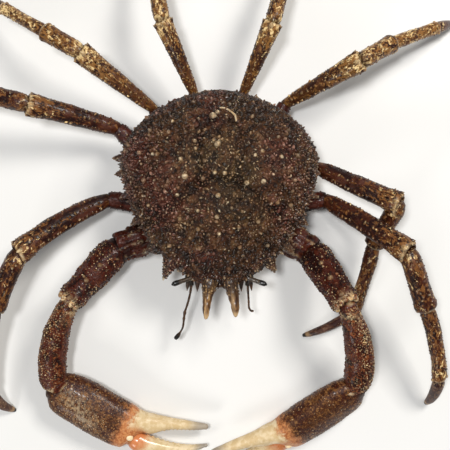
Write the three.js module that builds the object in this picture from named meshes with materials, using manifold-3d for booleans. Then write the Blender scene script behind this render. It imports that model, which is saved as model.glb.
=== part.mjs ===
// European spiny spider crab, an adult male, whole and still, at life size.
// Millimetres, +Z up. The animal faces -Y and its own left side is +X. It is
// laid out round the midline of the body with the floor at z = 0, and the
// finished group is then moved so that its origin is the middle of the floor
// under its bounding box.
//
// A limb is a chain of hard pieces. Each piece is a loft along its own axis,
// and its far end is a cup that the next piece sits in, GAP clear all round.
// Right limbs are worked out on the left side and mirrored.

import * as THREE from 'three';
import { mergeVertices } from 'three/addons/utils/BufferGeometryUtils.js';
import Module from 'manifold-3d';

const wasm = await Module();
wasm.setup();

// ---------------------------------------------------------------- dimensions

const GAP = 0.3; // clearance between neighbouring pieces
const FLOOR_SHIFT = { x: 39.4, y: 2.99 }; // from the midline frame to the middle of the floor under the whole

// Carapace: outline seen from above, and heights above the floor.
const CARAPACE = {
  halfWidth: 73.9, // at its widest
  widestY: 17,
  frontReach: 92, // widest section to the notch between the horns
  rearReach: 58, // widest section to the rear margin
  edgeMid: 42, // height of the side margin at the widest section
  edgeFront: 50,
  edgeRear: 36,
  dome: 44, // crown of the back above the side margin
  underside: 22,
  undersideFront: 36,
  undersideRear: 26,
  underTaper: 0.2, // how far the flanks turn in under the margin
};

// The two horns of the snout, from the shell outwards: y, x and half breadth.
const HORNS = {
  left: [[-62, 6.6, 6.4], [-74.7, 9.1, 5.1], [-82.7, 10.95, 3.9], [-90.7, 12.1, 2.8], [-94.8, 12.0, 1.7]],
  right: [[-62, -6.2, 6.6], [-74.7, -7.5, 5.3], [-82.7, -8.8, 3.5], [-90.7, -9.6, 2.8], [-96.4, -9.9, 1.7]],
};
const HORN_HEIGHT = { y: -62, z: 49.2, rise: 2.9, run: 34, flatness: 0.9 };
// The broad tooth behind each orbit, in millimetres.
const ORBIT_TEETH = {
  left: { from: [34.2, -50, 50], to: [42.0, -64.2, 46.8], radius: 7.2 },
  right: { from: [-34.4, -52, 50], to: [-42.4, -69.8, 46.2], radius: 7.2 },
};

// Spines along the side margins: place along the midline axis, length beyond
// the margin on the left and on the right, base radius, forward lean in degrees
// from straight out, and rise.
const MARGIN_SPINES = [
  { y: -43, left: 9, right: 9, radius: 4.6, lean: 42, rise: 0 },
  { y: -24, left: 6.6, right: 6.8, radius: 4.0, lean: 34, rise: 4 },
  { y: -5, left: 6.2, right: 6.4, radius: 3.8, lean: 24, rise: 6 },
  { y: 10.8, left: 3.2, right: 6.2, radius: 4.0, lean: 10, rise: 8 },
  { y: 22, left: 2.4, right: 7.6, radius: 4.0, lean: 0, rise: 8 },
];
const BROW_SPINES = [
  { x: 25, y: -58, z: 55.5, length: 5.5, radius: 3.2, out: 4 }, // above the eye
  { x: 16, y: -68, z: 45.5, length: 10.4, radius: 2.5, out: 0.6 }, // beside the horn
  { x: 22.8, y: -66, z: 43, length: 12, radius: 2.6, out: 1.6 }, // foot of the antenna
];
const MIDLINE_SPINES = { y: [53, 28.2, 8.3, -7.6, -21.6, -34], radius: 2.7, height: 5 };

const THORAX = { halfWidth: 50, halfLength: 49, centreY: 2, bottom: 4.6, top: 21.7 };
const ABDOMEN = { rearWidth: 17, waistWidth: 12, tipWidth: 7.5, rearY: 47, tipY: -27, thickness: 4.2 };
const MOUTH = { x: 8.1, halfWidth: 7.7, rearY: -41, rearZ: 12.5, frontY: -69, frontZ: 30.5, thickness: 8 };
const EYE = { x: 17.5, y: -66.5, z: 48.5, tipX: 34.8, tipY: -72.6, tipZ: 50.5, radius: 1.8 };

// Limb proportions, the same on both sides. `length` and `radius` run over the
// merus, carpus, propodus and dactyl.
const LEG = {
  leg1: { base: [50, -12, 19], length: [79.6, 48.0, 63.2, 39.5], radius: [8.1, 7.6, 6.0, 4.9], ischium: 7.8 },
  leg2: { base: [47, 14, 19], length: [70.1, 41.2, 58.1, 43.8], radius: [7.7, 7.1, 5.6, 3.9], ischium: 7.2 },
  leg3: { base: [36, 34, 20], length: [71.1, 33.4, 45.8, 35.8], radius: [7.1, 6.6, 5.0, 4.2], ischium: 6.6 },
  leg4: { base: [18, 44, 21], length: [60.2, 32.0, 44.0, 33.6], radius: [6.3, 6.1, 4.7, 3.9], ischium: 5.6 },
};
const CLAW = { base: [46, -34, 20], merus: 55.4, carpus: 71.8, palm: 77.6, ischium: 13 };

// The stance: for each piece its azimuth, from straight out to its own side
// towards the rear, and its rise above level, in degrees. The first entry is
// the ischium and also gives its length.
const POSE = {
  leg1: {
    left: [[33.4, 5.5, 17.8], [-35.3, 32.2], [-68.2, -20.2], [-74.7, -21.8], [-96.9, -50.9]],
    right: [[36.9, 5.2, 13.3], [-32.6, 20.2], [-63.5, -12.7], [-81.0, -15.4], [-119.1, -41.8]],
  },
  leg2: {
    left: [[29.6, 4.2, 10.9], [-26.5, 23.5], [-115.7, -34.3], [-104.9, -13.9], [-152.5, -18.8]],
    right: [[45.8, 45.6, 12.1], [13.3, 22.4], [15.6, -9.5], [1.8, -15.1], [4.4, -47.6]],
  },
  leg3: {
    left: [[34.8, 65.3, 10.5], [26.4, 32.4], [31.8, -27.6], [23.0, -24.7], [24.8, -53.0]],
    right: [[31.2, 62.1, 13.8], [36.4, 23.2], [31.2, -10.4], [31.7, -24.4], [38.2, -54.9]],
  },
  leg4: {
    left: [[29.1, 90.4, 16.2], [66.3, 24.7], [76.0, -16.7], [77.8, -22.2], [76.3, -54.5]],
    right: [[30.3, 86.9, 15.0], [65.6, 24.7], [78.1, -12.3], [78.1, -24.9], [79.5, -55.1]],
  },
  claw: {
    left: [[30.2, -30.5, 12.5], [-59.3, 37.2], [-80.5, -21.6], [-145.8, -14.0]],
    right: [[35.0, -19.7, 11.5], [-48.3, 10.4], [-77.3, -14.2], [-152.9, -4.4]],
  },
};
const PALM_ROLL = { left: 42, right: 3 }; // lifts the inner edge of the claw
// How far a piece bows sideways at its middle, away from the body.
const BOW = {
  leg1: { left: { merus: 1.0, propodus: 2.2, dactyl: 1.2 }, right: { merus: 3.3, propodus: 2.2, dactyl: 3.4 } },
  leg2: { left: { propodus: 1.2, dactyl: 1.5 }, right: { merus: 0.8 } },
  leg3: { left: {}, right: {} },
  leg4: { left: {}, right: {} },
};
const FLAT = 0.35; // depth of the flat that each leg tip stands on

// Sections of the limb pieces: place along the piece, half width, half height,
// sideways shift (towards the inner side) and upward shift, all but the first
// as shares of the piece's radius.
const SECTIONS = {
  ischium: [[0, 1.0, 1.0, 0, 0], [0.3, 1.1, 1.08, 0, 0], [0.6, 0.94, 0.94, 0, 0], [1, 0.84, 0.84, 0, 0]],
  merus: [[0, 0.6, 0.6, 0, 0], [0.09, 0.77, 0.78, 0, 0], [0.35, 0.91, 0.93, 0, 0], [0.7, 1.02, 1.02, 0, 0.03], [0.94, 1.14, 1.13, 0, 0.06], [1.01, 0.88, 0.88, 0, 0.04]],
  carpus: [[0, 0.66, 0.66, 0, 0], [0.13, 0.96, 0.98, 0, 0.07], [0.9, 1.1, 1.07, 0, 0.06], [1.01, 0.86, 0.86, 0, 0]],
  propodus: [[0, 0.66, 0.66, 0, 0], [0.11, 1.0, 1.0, 0, 0], [0.5, 0.95, 0.97, 0, 0.02], [0.93, 0.99, 0.97, 0, 0.04], [1.008, 0.78, 0.78, 0, 0]],
  dactyl: [[0, 0.66, 0.66, 0, 0], [0.12, 1.0, 0.98, 0, 0.14], [0.5, 0.88, 0.88, 0, 0.36], [0.8, 0.69, 0.69, 0, 0.22], [1, 0.34, 0.34, 0, 0]],
};
// The last two pairs of legs have meri that widen evenly towards the knee.
const CONICAL = [[0, 0.48, 0.48, 0, 0], [0.1, 0.65, 0.66, 0, 0], [0.6, 0.95, 0.96, 0, 0.02], [0.93, 1.16, 1.12, 0, 0.05], [1.01, 0.88, 0.88, 0, 0.02]];
// The same for the claw-bearing limb, in millimetres.
const CLAW_SECTIONS = {
  ischium: [[0, 11.4, 11.4, 0, 0], [0.3, 13.6, 13.2, 0, 0], [0.6, 12.2, 11.8, 0, 0], [1, 10.4, 10.2, 0, 0]],
  merus: [[0, 8.6, 8.6, 0, 0], [0.1, 12.1, 11.6, 0, 0], [0.5, 12.0, 11.5, 0, 0], [0.8, 10.7, 10.5, 0, 0], [0.93, 10.9, 10.8, 0, 0.6], [1.01, 8.4, 8.4, 0, 0.4]],
  carpus: [[0, 6.5, 6.5, 0, 0], [0.12, 7.9, 7.9, -1.8, 0.4], [0.32, 9.2, 9.0, -4.2, 0.5], [0.6, 10.6, 10.1, -4.9, 0.1], [0.9, 11.0, 10.3, -1.6, 0], [1.01, 8.7, 8.4, 0, 0]],
  palm: [[0, 9.6, 7.1, -0.6, 0], [0.08, 15.6, 9.6, -1.3, 0], [0.24, 18.1, 11.4, -1.2, 0], [0.6, 18.6, 12.2, -2.8, 0], [0.87, 17.5, 10.9, -3.4, 0], [0.97, 13.6, 9.2, -2.6, 0]],
};
// Both fingers of the claw, in the plane of the palm: distance from the wrist,
// sideways shift, half breadth and half thickness.
const FIXED_FINGER = [[66, 3.5, 9, 8], [78.5, 6.4, 8.5, 7.8], [87, 9.2, 7.7, 6.3], [95.5, 14.0, 5.2, 5.2], [103, 17.2, 4.4, 4.4], [113, 20.8, 3.4, 3.5], [121, 24.2, 2.3, 2.4]];
const MOVING_FINGER = [[75, -9.7, 6.4, 6.2], [82, -9.8, 7.7, 6.9], [93, -7.3, 6.4, 6.0], [105, -3.5, 5.0, 4.8], [118, 2.8, 3.6, 3.6], [127.4, 10.2, 2.0, 2.1]];

// ------------------------------------------------------------------- helpers

const deg = THREE.MathUtils.degToRad;
const v3 = (x, y, z) => new THREE.Vector3(x, y, z);
const Z = v3(0, 0, 1);

function direction(azimuth, rise) {
  return v3(
    Math.cos(deg(rise)) * Math.cos(deg(azimuth)),
    Math.cos(deg(rise)) * Math.sin(deg(azimuth)),
    Math.sin(deg(rise)),
  );
}

// Closed skin over rings with equal numbers of points, with a pole at each end.
function loft(rings, startPole, endPole) {
  const n = rings[0].length;
  const points = [startPole, ...rings.flat(), endPole];
  const last = points.length - 1;
  const index = [];
  for (let j = 0; j < n; j++) {
    const k = (j + 1) % n;
    index.push(0, 1 + k, 1 + j);
    for (let i = 0; i + 1 < rings.length; i++) {
      const a = 1 + i * n + j;
      const b = 1 + i * n + k;
      index.push(a, b, b + n, a, b + n, a + n);
    }
    const end = 1 + (rings.length - 1) * n;
    index.push(last, end + j, end + k);
  }
  const geometry = new THREE.BufferGeometry();
  geometry.setAttribute('position', new THREE.Float32BufferAttribute(points.flatMap((p) => p.toArray()), 3));
  geometry.setIndex(index);
  return geometry;
}

function solid(geometry, mirrored = false) {
  const g = geometry.clone();
  g.deleteAttribute('normal');
  g.deleteAttribute('uv');
  if (mirrored) g.applyMatrix4(new THREE.Matrix4().makeScale(-1, 1, 1));
  const merged = mergeVertices(g, 1e-4);
  const build = (flip) => {
    const triVerts = new Uint32Array(merged.index.array);
    if (flip) for (let i = 0; i < triVerts.length; i += 3) [triVerts[i + 1], triVerts[i + 2]] = [triVerts[i + 2], triVerts[i + 1]];
    return new wasm.Manifold(new wasm.Mesh({ numProp: 3, vertProperties: new Float32Array(merged.attributes.position.array), triVerts }));
  };
  const made = build(false);
  return made.volume() > 0 ? made : build(true);
}

function largest(body) {
  const pieces = body.decompose();
  return pieces.reduce((best, piece) => (piece.volume() > best.volume() ? piece : best), pieces[0]);
}

function geometryOf(body) {
  const m = body.getMesh();
  const positions = new Float32Array(m.numVert * 3);
  for (let i = 0; i < m.numVert; i++) positions.set(m.vertProperties.subarray(i * m.numProp, i * m.numProp + 3), i * 3);
  const g = new THREE.BufferGeometry();
  g.setAttribute('position', new THREE.BufferAttribute(positions, 3));
  g.setIndex(new THREE.BufferAttribute(new Uint32Array(m.triVerts), 1));
  g.computeVertexNormals();
  return g;
}

// Everything above the floor: cutting with it leaves the flats that stand on it.
const aboveFloor = solid(new THREE.BoxGeometry(2000, 2000, 400).translate(0, 0, 200));
const onFloor = (body) => largest(body.intersect(aboveFloor));

// Axes of a piece: along, to its inner side, and up, turned about its length.
function axes(from, to, roll = 0) {
  const along = to.clone().sub(from).normalize();
  const side = along.clone().cross(Math.abs(along.z) > 0.99 ? v3(0, 1, 0) : Z).normalize();
  const up = side.clone().cross(along).normalize();
  const c = Math.cos(deg(roll));
  const s = Math.sin(deg(roll));
  return {
    along,
    side: side.clone().multiplyScalar(c).addScaledVector(up, s),
    up: up.clone().multiplyScalar(c).addScaledVector(side, -s),
  };
}

function ring(centre, frame, half, high, sides, squareness = 1) {
  const points = [];
  for (let i = 0; i < sides; i++) {
    const a = ((i + 0.5) / sides) * Math.PI * 2;
    const c = Math.sign(Math.cos(a)) * Math.abs(Math.cos(a)) ** squareness;
    const s = Math.sign(Math.sin(a)) * Math.abs(Math.sin(a)) ** squareness;
    points.push(centre.clone().addScaledVector(frame.side, half * c).addScaledVector(frame.up, high * s));
  }
  return points;
}

// A limb piece from its section table; `grow` swells it all round.
function piece(from, to, table, { scale = 1, sides = 8, roll = 0, grow = 0, cap = 0.4, squareness = 1, bow = 0 } = {}) {
  const frame = axes(from, to, roll);
  const length = from.distanceTo(to);
  const at = (d, side, up) => from.clone().addScaledVector(frame.along, d).addScaledVector(frame.side, side).addScaledVector(frame.up, up);
  const rings = table.map(([t, half, high, side, up], i) => {
    const push = i === 0 ? -grow : i === table.length - 1 ? grow : 0;
    return ring(at(t * length + push, side * scale - bow * 4 * Math.max(t, 0) * Math.max(1 - t, 0), up * scale), frame, half * scale + grow, high * scale + grow, sides, squareness);
  });
  const first = table[0];
  const last = table[table.length - 1];
  return loft(
    rings,
    at(first[0] * length - cap * first[1] * scale - grow, first[3] * scale, first[4] * scale),
    at(last[0] * length + cap * last[1] * scale + grow, last[3] * scale, last[4] * scale),
  );
}

// A tapering spine; `rings` above one give it a fuller middle.
function spine(from, to, radius, sides = 5, rings = 1) {
  const frame = axes(from, to);
  const length = from.distanceTo(to);
  const at = (t) => from.clone().addScaledVector(frame.along, t * length);
  const section = (t) => ring(at(t), frame, radius * (1 - t ** 1.4), radius * (1 - t ** 1.4), sides);
  return solid(loft(Array.from({ length: rings }, (_, i) => section((i / rings) * 0.95)), at(-0.3), at(1)));
}

const mirrorX = (p) => v3(-p.x, p.y, p.z);

// ---------------------------------------------------------------------- body

const edgeHeight = (y) =>
  y < CARAPACE.widestY
    ? THREE.MathUtils.lerp(CARAPACE.edgeMid, CARAPACE.edgeFront, (CARAPACE.widestY - y) / CARAPACE.frontReach)
    : THREE.MathUtils.lerp(CARAPACE.edgeMid, CARAPACE.edgeRear, (y - CARAPACE.widestY) / CARAPACE.rearReach);

// One section across the carapace, at a share t of the way to its front or rear.
function carapaceSection(t, front) {
  const y = front ? CARAPACE.widestY - t * CARAPACE.frontReach : CARAPACE.widestY + t * CARAPACE.rearReach;
  const half = CARAPACE.halfWidth * (front ? (1 - t ** 1.57) ** 0.55 : (1 - t ** 2) ** 0.6);
  const dome = CARAPACE.dome * (front ? (1 - t ** 1.8) ** 0.9 : (1 - t ** 2) ** 0.55);
  const rise = front ? THREE.MathUtils.smoothstep((-46 - y) / 29, 0, 1) * (CARAPACE.undersideFront - CARAPACE.underside) : t * (CARAPACE.undersideRear - CARAPACE.underside);
  const depth = (edgeHeight(y) - CARAPACE.underside - rise) * (1 - t ** 8) ** 0.5;
  return { y, half, dome, depth, edge: edgeHeight(y) };
}

const halfWidthAt = (y) => (y < CARAPACE.widestY
  ? carapaceSection((CARAPACE.widestY - y) / CARAPACE.frontReach, true)
  : carapaceSection((y - CARAPACE.widestY) / CARAPACE.rearReach, false)).half;

function backHeight(x, y) {
  const s = y < CARAPACE.widestY
    ? carapaceSection((CARAPACE.widestY - y) / CARAPACE.frontReach, true)
    : carapaceSection((y - CARAPACE.widestY) / CARAPACE.rearReach, false);
  return s.edge + s.dome * (1 - Math.min(1, Math.abs(x) / s.half) ** 2.1) ** (1 / 2.1);
}

function carapaceBody(grow = 0) {
  const upper = 14;
  const lower = 8;
  const section = ({ y, half, dome, depth, edge }) => {
    const points = [];
    for (let i = 0; i < upper; i++) {
      const a = (i / upper) * Math.PI;
      const c = Math.cos(a);
      points.push(v3((half + grow) * Math.sign(c) * Math.abs(c) ** (2 / 2.1), y, edge + (dome + grow) * Math.sin(a) ** (2 / 2.1)));
    }
    for (let i = 0; i < lower; i++) {
      const a = (i / lower) * Math.PI;
      const c = -Math.cos(a);
      const down = Math.sin(a) ** (2 / 3);
      points.push(v3((half + grow) * Math.sign(c) * Math.abs(c) ** (2 / 3) * (1 - CARAPACE.underTaper * down), y, edge - (depth + grow) * down));
    }
    return points;
  };
  const sections = [];
  for (let i = 7; i >= 1; i--) sections.push(carapaceSection(Math.sin(((i - 0.4) / 7) * Math.PI / 2), true));
  sections.push(carapaceSection(0.02, true));
  for (let i = 1; i <= 5; i++) sections.push(carapaceSection(Math.sin(((i - 0.3) / 5) * Math.PI / 2), false));
  const rings = sections.map(section);
  const front = CARAPACE.widestY - CARAPACE.frontReach;
  const rear = CARAPACE.widestY + CARAPACE.rearReach;
  return solid(loft(rings, v3(0, front - grow, edgeHeight(front) - 3), v3(0, rear + grow, edgeHeight(rear) - 1)));
}

function hornBody(side) {
  const height = (y) => HORN_HEIGHT.z + ((HORN_HEIGHT.y - y) / HORN_HEIGHT.run) * HORN_HEIGHT.rise;
  const frame = { side: v3(1, 0, 0), up: Z };
  const rows = HORNS[side];
  const rings = rows.map(([y, x, half]) => ring(v3(x, y, height(y)), frame, half, half * HORN_HEIGHT.flatness, 8));
  const [y, x, half] = rows[rows.length - 1];
  return solid(loft(rings, v3(rows[0][1], rows[0][0] + 3, height(rows[0][0])), v3(x + Math.sign(x) * 0.1, y - half * 1.2, height(y) + 0.1)));
}

let carapace = carapaceBody();
for (const [side, sign] of [['left', 1], ['right', -1]]) {
  const m = (p) => (sign > 0 ? p : mirrorX(p));
  carapace = carapace.add(hornBody(side));
  const tooth = ORBIT_TEETH[side];
  carapace = carapace.add(spine(v3(...tooth.from), v3(...tooth.to), tooth.radius, 7, 2));
  for (const s of MARGIN_SPINES) {
    const along = direction(-s.lean, s.rise);
    const root = v3(halfWidthAt(s.y) - 1.5, s.y, edgeHeight(s.y) + 1).addScaledVector(along, -2);
    carapace = carapace.add(spine(m(root), m(root.clone().addScaledVector(along, s[side] + 3.5)), s.radius));
  }
  for (const s of BROW_SPINES) carapace = carapace.add(spine(m(v3(s.x, s.y, s.z)), m(v3(s.x + s.out, s.y - s.length, s.z + 0.5)), s.radius, 5));
}
for (const y of MIDLINE_SPINES.y) {
  const top = backHeight(0, y);
  const back = y > CARAPACE.widestY ? 2.5 : 0;
  carapace = carapace.add(spine(v3(0, y - back * 0.3, top - 1.5), v3(0, y + back, top + MIDLINE_SPINES.height), MIDLINE_SPINES.radius, 5));
}

// The shield of the breast: a thick plate, rounded below.
function thoraxBody() {
  const levels = [[0, 0.8], [0.2, 0.93], [1, 1]];
  const rings = levels.map(([t, share]) => {
    const z = THREE.MathUtils.lerp(THORAX.bottom, THORAX.top, t);
    const points = [];
    for (let i = 0; i < 16; i++) {
      const a = (i / 16) * Math.PI * 2;
      const c = Math.cos(a);
      const s = Math.sin(a);
      points.push(v3(
        THORAX.halfWidth * share * Math.sign(c) * Math.abs(c) ** (2 / 3),
        THORAX.centreY + THORAX.halfLength * share * Math.sign(s) * Math.abs(s) ** (2 / 3),
        z,
      ));
    }
    return points;
  });
  return solid(loft(rings, v3(0, THORAX.centreY, THORAX.bottom), v3(0, THORAX.centreY, THORAX.top)));
}
let thorax = thoraxBody();

// The tail flap, folded forward under the breast; the animal rests on it.
function abdomenBody(grow = 0) {
  const { rearY, tipY, rearWidth, waistWidth, tipWidth, thickness } = ABDOMEN;
  const table = [[0, rearWidth * 0.8], [0.12, rearWidth], [0.34, rearWidth * 0.92], [0.5, waistWidth], [0.8, waistWidth * 0.86], [0.94, tipWidth], [1, tipWidth * 0.5]];
  const rings = table.map(([t, half]) => {
    const y = THREE.MathUtils.lerp(rearY, tipY, t);
    const p = half + grow;
    const top = thickness + 2 + grow;
    return [v3(p, y, 1.6), v3(p, y, top), v3(-p, y, top), v3(-p, y, 1.6), v3(-p + 2.4, y, -grow), v3(0, y, -grow), v3(p - 2.4, y, -grow)];
  });
  return solid(loft(rings, v3(0, rearY + 2 + grow, 2.5), v3(0, tipY - 1.5 - grow, 2.5)));
}
const abdomenCutter = abdomenBody(GAP);
let abdomen = abdomenBody();
const ceiling = solid(new THREE.BoxGeometry(400, 400, 60).translate(0, 0, 30 + ABDOMEN.thickness + 1.6));
abdomen = largest(abdomen.subtract(ceiling));

// The outer mouthparts: a pair of plates that slope up to the front.
function mouthBody(sign, grow = 0) {
  const table = [[0, 0.74, 0.7, 0, 0], [0.1, 1, 0.95, 0, 0], [0.62, 0.94, 0.72, 0, 0], [0.72, 0.82, 0.64, 0, 0], [1, 0.6, 0.42, 0, 0]].map(([t, w, h, s, u]) => [t, w * MOUTH.halfWidth, (h * MOUTH.thickness) / 2, s, u]);
  return solid(piece(v3(sign * MOUTH.x, MOUTH.rearY, MOUTH.rearZ), v3(sign * MOUTH.x, MOUTH.frontY, MOUTH.frontZ), table, { sides: 8, grow, cap: 0.15, squareness: 0.7 }));
}

// Eye on its stalk, pointing out to the side from under the brow.
function eyeBody(sign, grow = 0) {
  const from = v3(sign * EYE.x, EYE.y, EYE.z);
  const to = v3(sign * EYE.tipX, EYE.tipY, EYE.tipZ);
  const table = [[0, 1.0, 1.0, 0, 0], [0.6, 0.96, 0.96, 0, 0], [0.82, 1.12, 1.12, 0, 0], [0.94, 1.06, 1.06, 0, 0], [1, 0.66, 0.66, 0, 0]];
  return solid(piece(from, to, table, { scale: EYE.radius, sides: 8, grow, cap: 0.3 }));
}

// The long antenna: a foot beside the horn, then a drooping whip.
const ANTENNA = {
  left: { path: [[20.4, -65, 39.5], [21.4, -73, 39], [21.8, -79, 37.6], [22.3, -86, 35.6], [22.8, -92, 33.4], [24.3, -94, 32.8], [25.8, -94.2, 32.6]], tip: 0.75 },
  right: { path: [[-20.4, -65, 39.5], [-21.3, -73, 39.4], [-22.1, -79.5, 38], [-24.2, -88, 34.5], [-26.5, -95.1, 31.5], [-27.3, -99.8, 29.5], [-28.6, -108, 25.5], [-32.4, -114.4, 21.4], [-34.4, -116.8, 20.1]], tip: 1.6 },
};
function antennaBody(side, grow = 0) {
  const curve = new THREE.CatmullRomCurve3(ANTENNA[side].path.map((p) => v3(...p)));
  const steps = side === 'left' ? 8 : 12;
  const rings = [];
  for (let i = 0; i <= steps; i++) {
    const u = i / steps;
    const p = curve.getPointAt(u);
    const t = curve.getTangentAt(u);
    const base = u < 0.2 ? 1.9 : THREE.MathUtils.lerp(1.05, 0.75, u);
    const r = (u > 0.9 ? Math.max(base, ANTENNA[side].tip) : base) + grow;
    rings.push(ring(p, axes(p, p.clone().add(t)), r, r, 6));
  }
  const a = curve.getPointAt(0).addScaledVector(curve.getTangentAt(0), -0.5 - grow);
  const b = curve.getPointAt(1).addScaledVector(curve.getTangentAt(1), 0.8 + grow);
  return solid(loft(rings, a, b));
}

// --------------------------------------------------------------------- limbs

// Joint centres of a limb, worked out on the left side.
function joints(base, lengths, pose) {
  const points = [v3(...base)];
  pose.forEach((entry, i) => {
    const [length, azimuth, rise] = i === 0 ? entry : [lengths[i - 1], ...entry];
    points.push(points[i].clone().addScaledVector(direction(azimuth, rise), length));
  });
  return points;
}

// Cups the far end of each piece for the next one.
function socketed(make, count) {
  const bodies = [];
  for (let i = 0; i < count; i++) {
    const body = make(i, 0);
    bodies.push(onFloor(i + 1 < count ? largest(body.subtract(make(i + 1, GAP))) : body));
  }
  return bodies;
}

function walkingLeg(name, side) {
  const { base, length, radius, ischium } = LEG[name];
  const points = joints(base, length, POSE[name][side]);
  const kinds = ['ischium', 'merus', 'carpus', 'propodus', 'dactyl'];
  const radii = [ischium, ...radius];
  // the tip reaches FLAT below the floor before it is cut off there
  const tip = SECTIONS.dactyl[SECTIONS.dactyl.length - 1][1] * radius[3];
  points[5].z = tip * Math.cos(deg(POSE[name][side][4][1])) - FLAT;
  const mirrored = side === 'right';
  const make = (i, grow) => {
    const table = (name === 'leg3' || name === 'leg4') && i === 1 ? CONICAL : SECTIONS[kinds[i]];
    const bow = BOW[name][side][kinds[i]] ?? 0;
    let body = solid(piece(points[i], points[i + 1], table, { scale: radii[i], sides: 7, grow, cap: i === 4 ? 0.5 : 0.35, bow }), mirrored);
    if (kinds[i] === 'merus' && grow === 0) {
      const frame = axes(points[1], points[2]);
      const root = points[2].clone().addScaledVector(frame.along, -5).addScaledVector(frame.up, radii[1] * 0.75);
      const tip = root.clone().addScaledVector(frame.along, 6).addScaledVector(frame.up, 5.5);
      body = body.add(spine(mirrored ? mirrorX(root) : root, mirrored ? mirrorX(tip) : tip, radii[1] * 0.36, 4));
    }
    return body;
  };
  const bodies = socketed(make, 5);
  return { kinds, bodies, cutter: make(0, GAP), reach: make(1, GAP) };
}

function clawLimb(side) {
  const mirrored = side === 'right';
  const points = joints(CLAW.base, [CLAW.merus, CLAW.carpus, CLAW.palm], POSE.claw[side]);
  const kinds = ['ischium', 'merus', 'carpus', 'palm', 'finger'];
  const frame = axes(points[3], points[4], PALM_ROLL[side]);
  const finger = (table, grow, capStart = 0.3) => {
    const rings = table.map(([d, across, half, high], i) => {
      const push = i === 0 ? -grow : i === table.length - 1 ? grow : 0;
      const centre = points[3].clone().addScaledVector(frame.along, d + push).addScaledVector(frame.side, across);
      return ring(centre, frame, half + grow, high + grow, 8);
    });
    const middle = (r) => r.reduce((s, p) => s.add(p), v3(0, 0, 0)).multiplyScalar(1 / r.length);
    const a = middle(rings[0]).addScaledVector(frame.along, -capStart * table[0][2] - grow);
    const b = middle(rings[rings.length - 1]).addScaledVector(frame.along, 1.6 + grow).addScaledVector(frame.side, 0.8);
    return solid(loft(rings, a, b), mirrored);
  };
  const make = (i, grow) => {
    if (i === 4) return finger(MOVING_FINGER, grow);
    const roll = i === 3 ? PALM_ROLL[side] : 0;
    const sides = i === 3 ? 11 : 9;
    let body = solid(piece(points[i], points[i + 1], CLAW_SECTIONS[kinds[i]], { sides, roll, grow, cap: 0.35, squareness: i === 3 ? 0.9 : 1 }), mirrored);
    if (i === 3) body = body.add(finger(FIXED_FINGER, grow, 0));
    if (i === 1 && grow === 0) {
      const f = axes(points[1], points[2]);
      for (const [t, lift, out] of [[0.35, 5, 0], [0.62, 5, 0], [0.9, 6, 3]]) {
        const root = points[1].clone().lerp(points[2], t).addScaledVector(f.up, 8.5);
        const tip = root.clone().addScaledVector(f.up, lift + 1.5).addScaledVector(f.along, 2 + out);
        body = body.add(spine(mirrored ? mirrorX(root) : root, mirrored ? mirrorX(tip) : tip, 3, 4));
      }
    }
    return body;
  };
  const bodies = socketed(make, 5);
  return { kinds, bodies, cutter: make(0, GAP), reach: make(1, GAP) };
}

// ----------------------------------------------------------------- materials

const finish = (hex, roughness) => new THREE.MeshStandardMaterial({ color: hex, roughness, metalness: 0 });
const COLOURS = {
  carapace: [0x513a2a, 0.42],
  thorax: [0xb9a27c, 0.5],
  abdomen: [0xc3ac86, 0.5],
  mouth: [0x7a5236, 0.5],
  eye: [0x14110f, 0.15],
  antenna: [0x5a3b28, 0.55],
  ischium: [0x5b3322, 0.45],
  merus: [0x64503a, 0.45],
  carpus: [0x5c3a2f, 0.45],
  propodus: [0x5e4635, 0.45],
  dactyl: [0x3a2b22, 0.4],
  palm: [0x5b4032, 0.38],
  finger: [0xebe4cf, 0.3],
};

// ------------------------------------------------------------------ assembly

const crab = new THREE.Group();
const addNode = (parent, name, body, colour) => {
  const mesh = new THREE.Mesh(geometryOf(body), finish(...COLOURS[colour]));
  mesh.name = name;
  parent.add(mesh);
};

const limbs = [];
for (const side of ['left', 'right']) {
  limbs.push({ name: `claw_${side}`, ...clawLimb(side) });
  for (const leg of Object.keys(LEG)) limbs.push({ name: `${leg}_${side}`, ...walkingLeg(leg, side) });
}

const headPieces = [];
for (const [side, sign] of [['left', 1], ['right', -1]]) {
  headPieces.push({ name: `mouthparts_${side}`, body: mouthBody(sign), cutter: mouthBody(sign, GAP), colour: 'mouth' });
  headPieces.push({ name: `eye_${side}`, body: eyeBody(sign), cutter: eyeBody(sign, GAP), colour: 'eye' });
  headPieces.push({ name: `antenna_${side}`, body: antennaBody(side), cutter: antennaBody(side, GAP), colour: 'antenna' });
}

for (const limb of limbs) {
  carapace = carapace.subtract(limb.cutter).subtract(limb.reach);
  thorax = thorax.subtract(limb.cutter);
}
for (const part of headPieces) {
  carapace = carapace.subtract(part.cutter);
  if (part.colour === 'mouth') thorax = thorax.subtract(part.cutter);
}
thorax = thorax.subtract(abdomenCutter);

// Neighbouring limb roots: each is trimmed clear of the one in front of it.
for (let i = 0; i < limbs.length; i++) {
  const next = limbs[i + 1];
  if (next && next.name.split('_')[1] === limbs[i].name.split('_')[1]) next.bodies[0] = largest(next.bodies[0].subtract(limbs[i].cutter));
}

const body = new THREE.Group();
addNode(body, 'carapace', largest(carapace), 'carapace');
addNode(body, 'thorax', largest(thorax), 'thorax');
addNode(body, 'abdomen', abdomen, 'abdomen');
for (const part of headPieces) addNode(body, part.name, part.body, part.colour);
crab.add(body);
for (const limb of limbs) {
  const group = new THREE.Group();
  limb.bodies.forEach((piece_, i) => addNode(group, `${limb.name}_${limb.kinds[i]}`, piece_, limb.kinds[i]));
  crab.add(group);
}

crab.position.set(FLOOR_SHIFT.x, FLOOR_SHIFT.y, 0);

export default crab;
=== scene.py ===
# European spiny spider crab, adult male: the surface of every hard piece.
# Shapes are worked out in millimetres round the midline of the body, facing -Y,
# with the floor at z = 0, and moved into the part's own frame in metres.

import math

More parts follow.
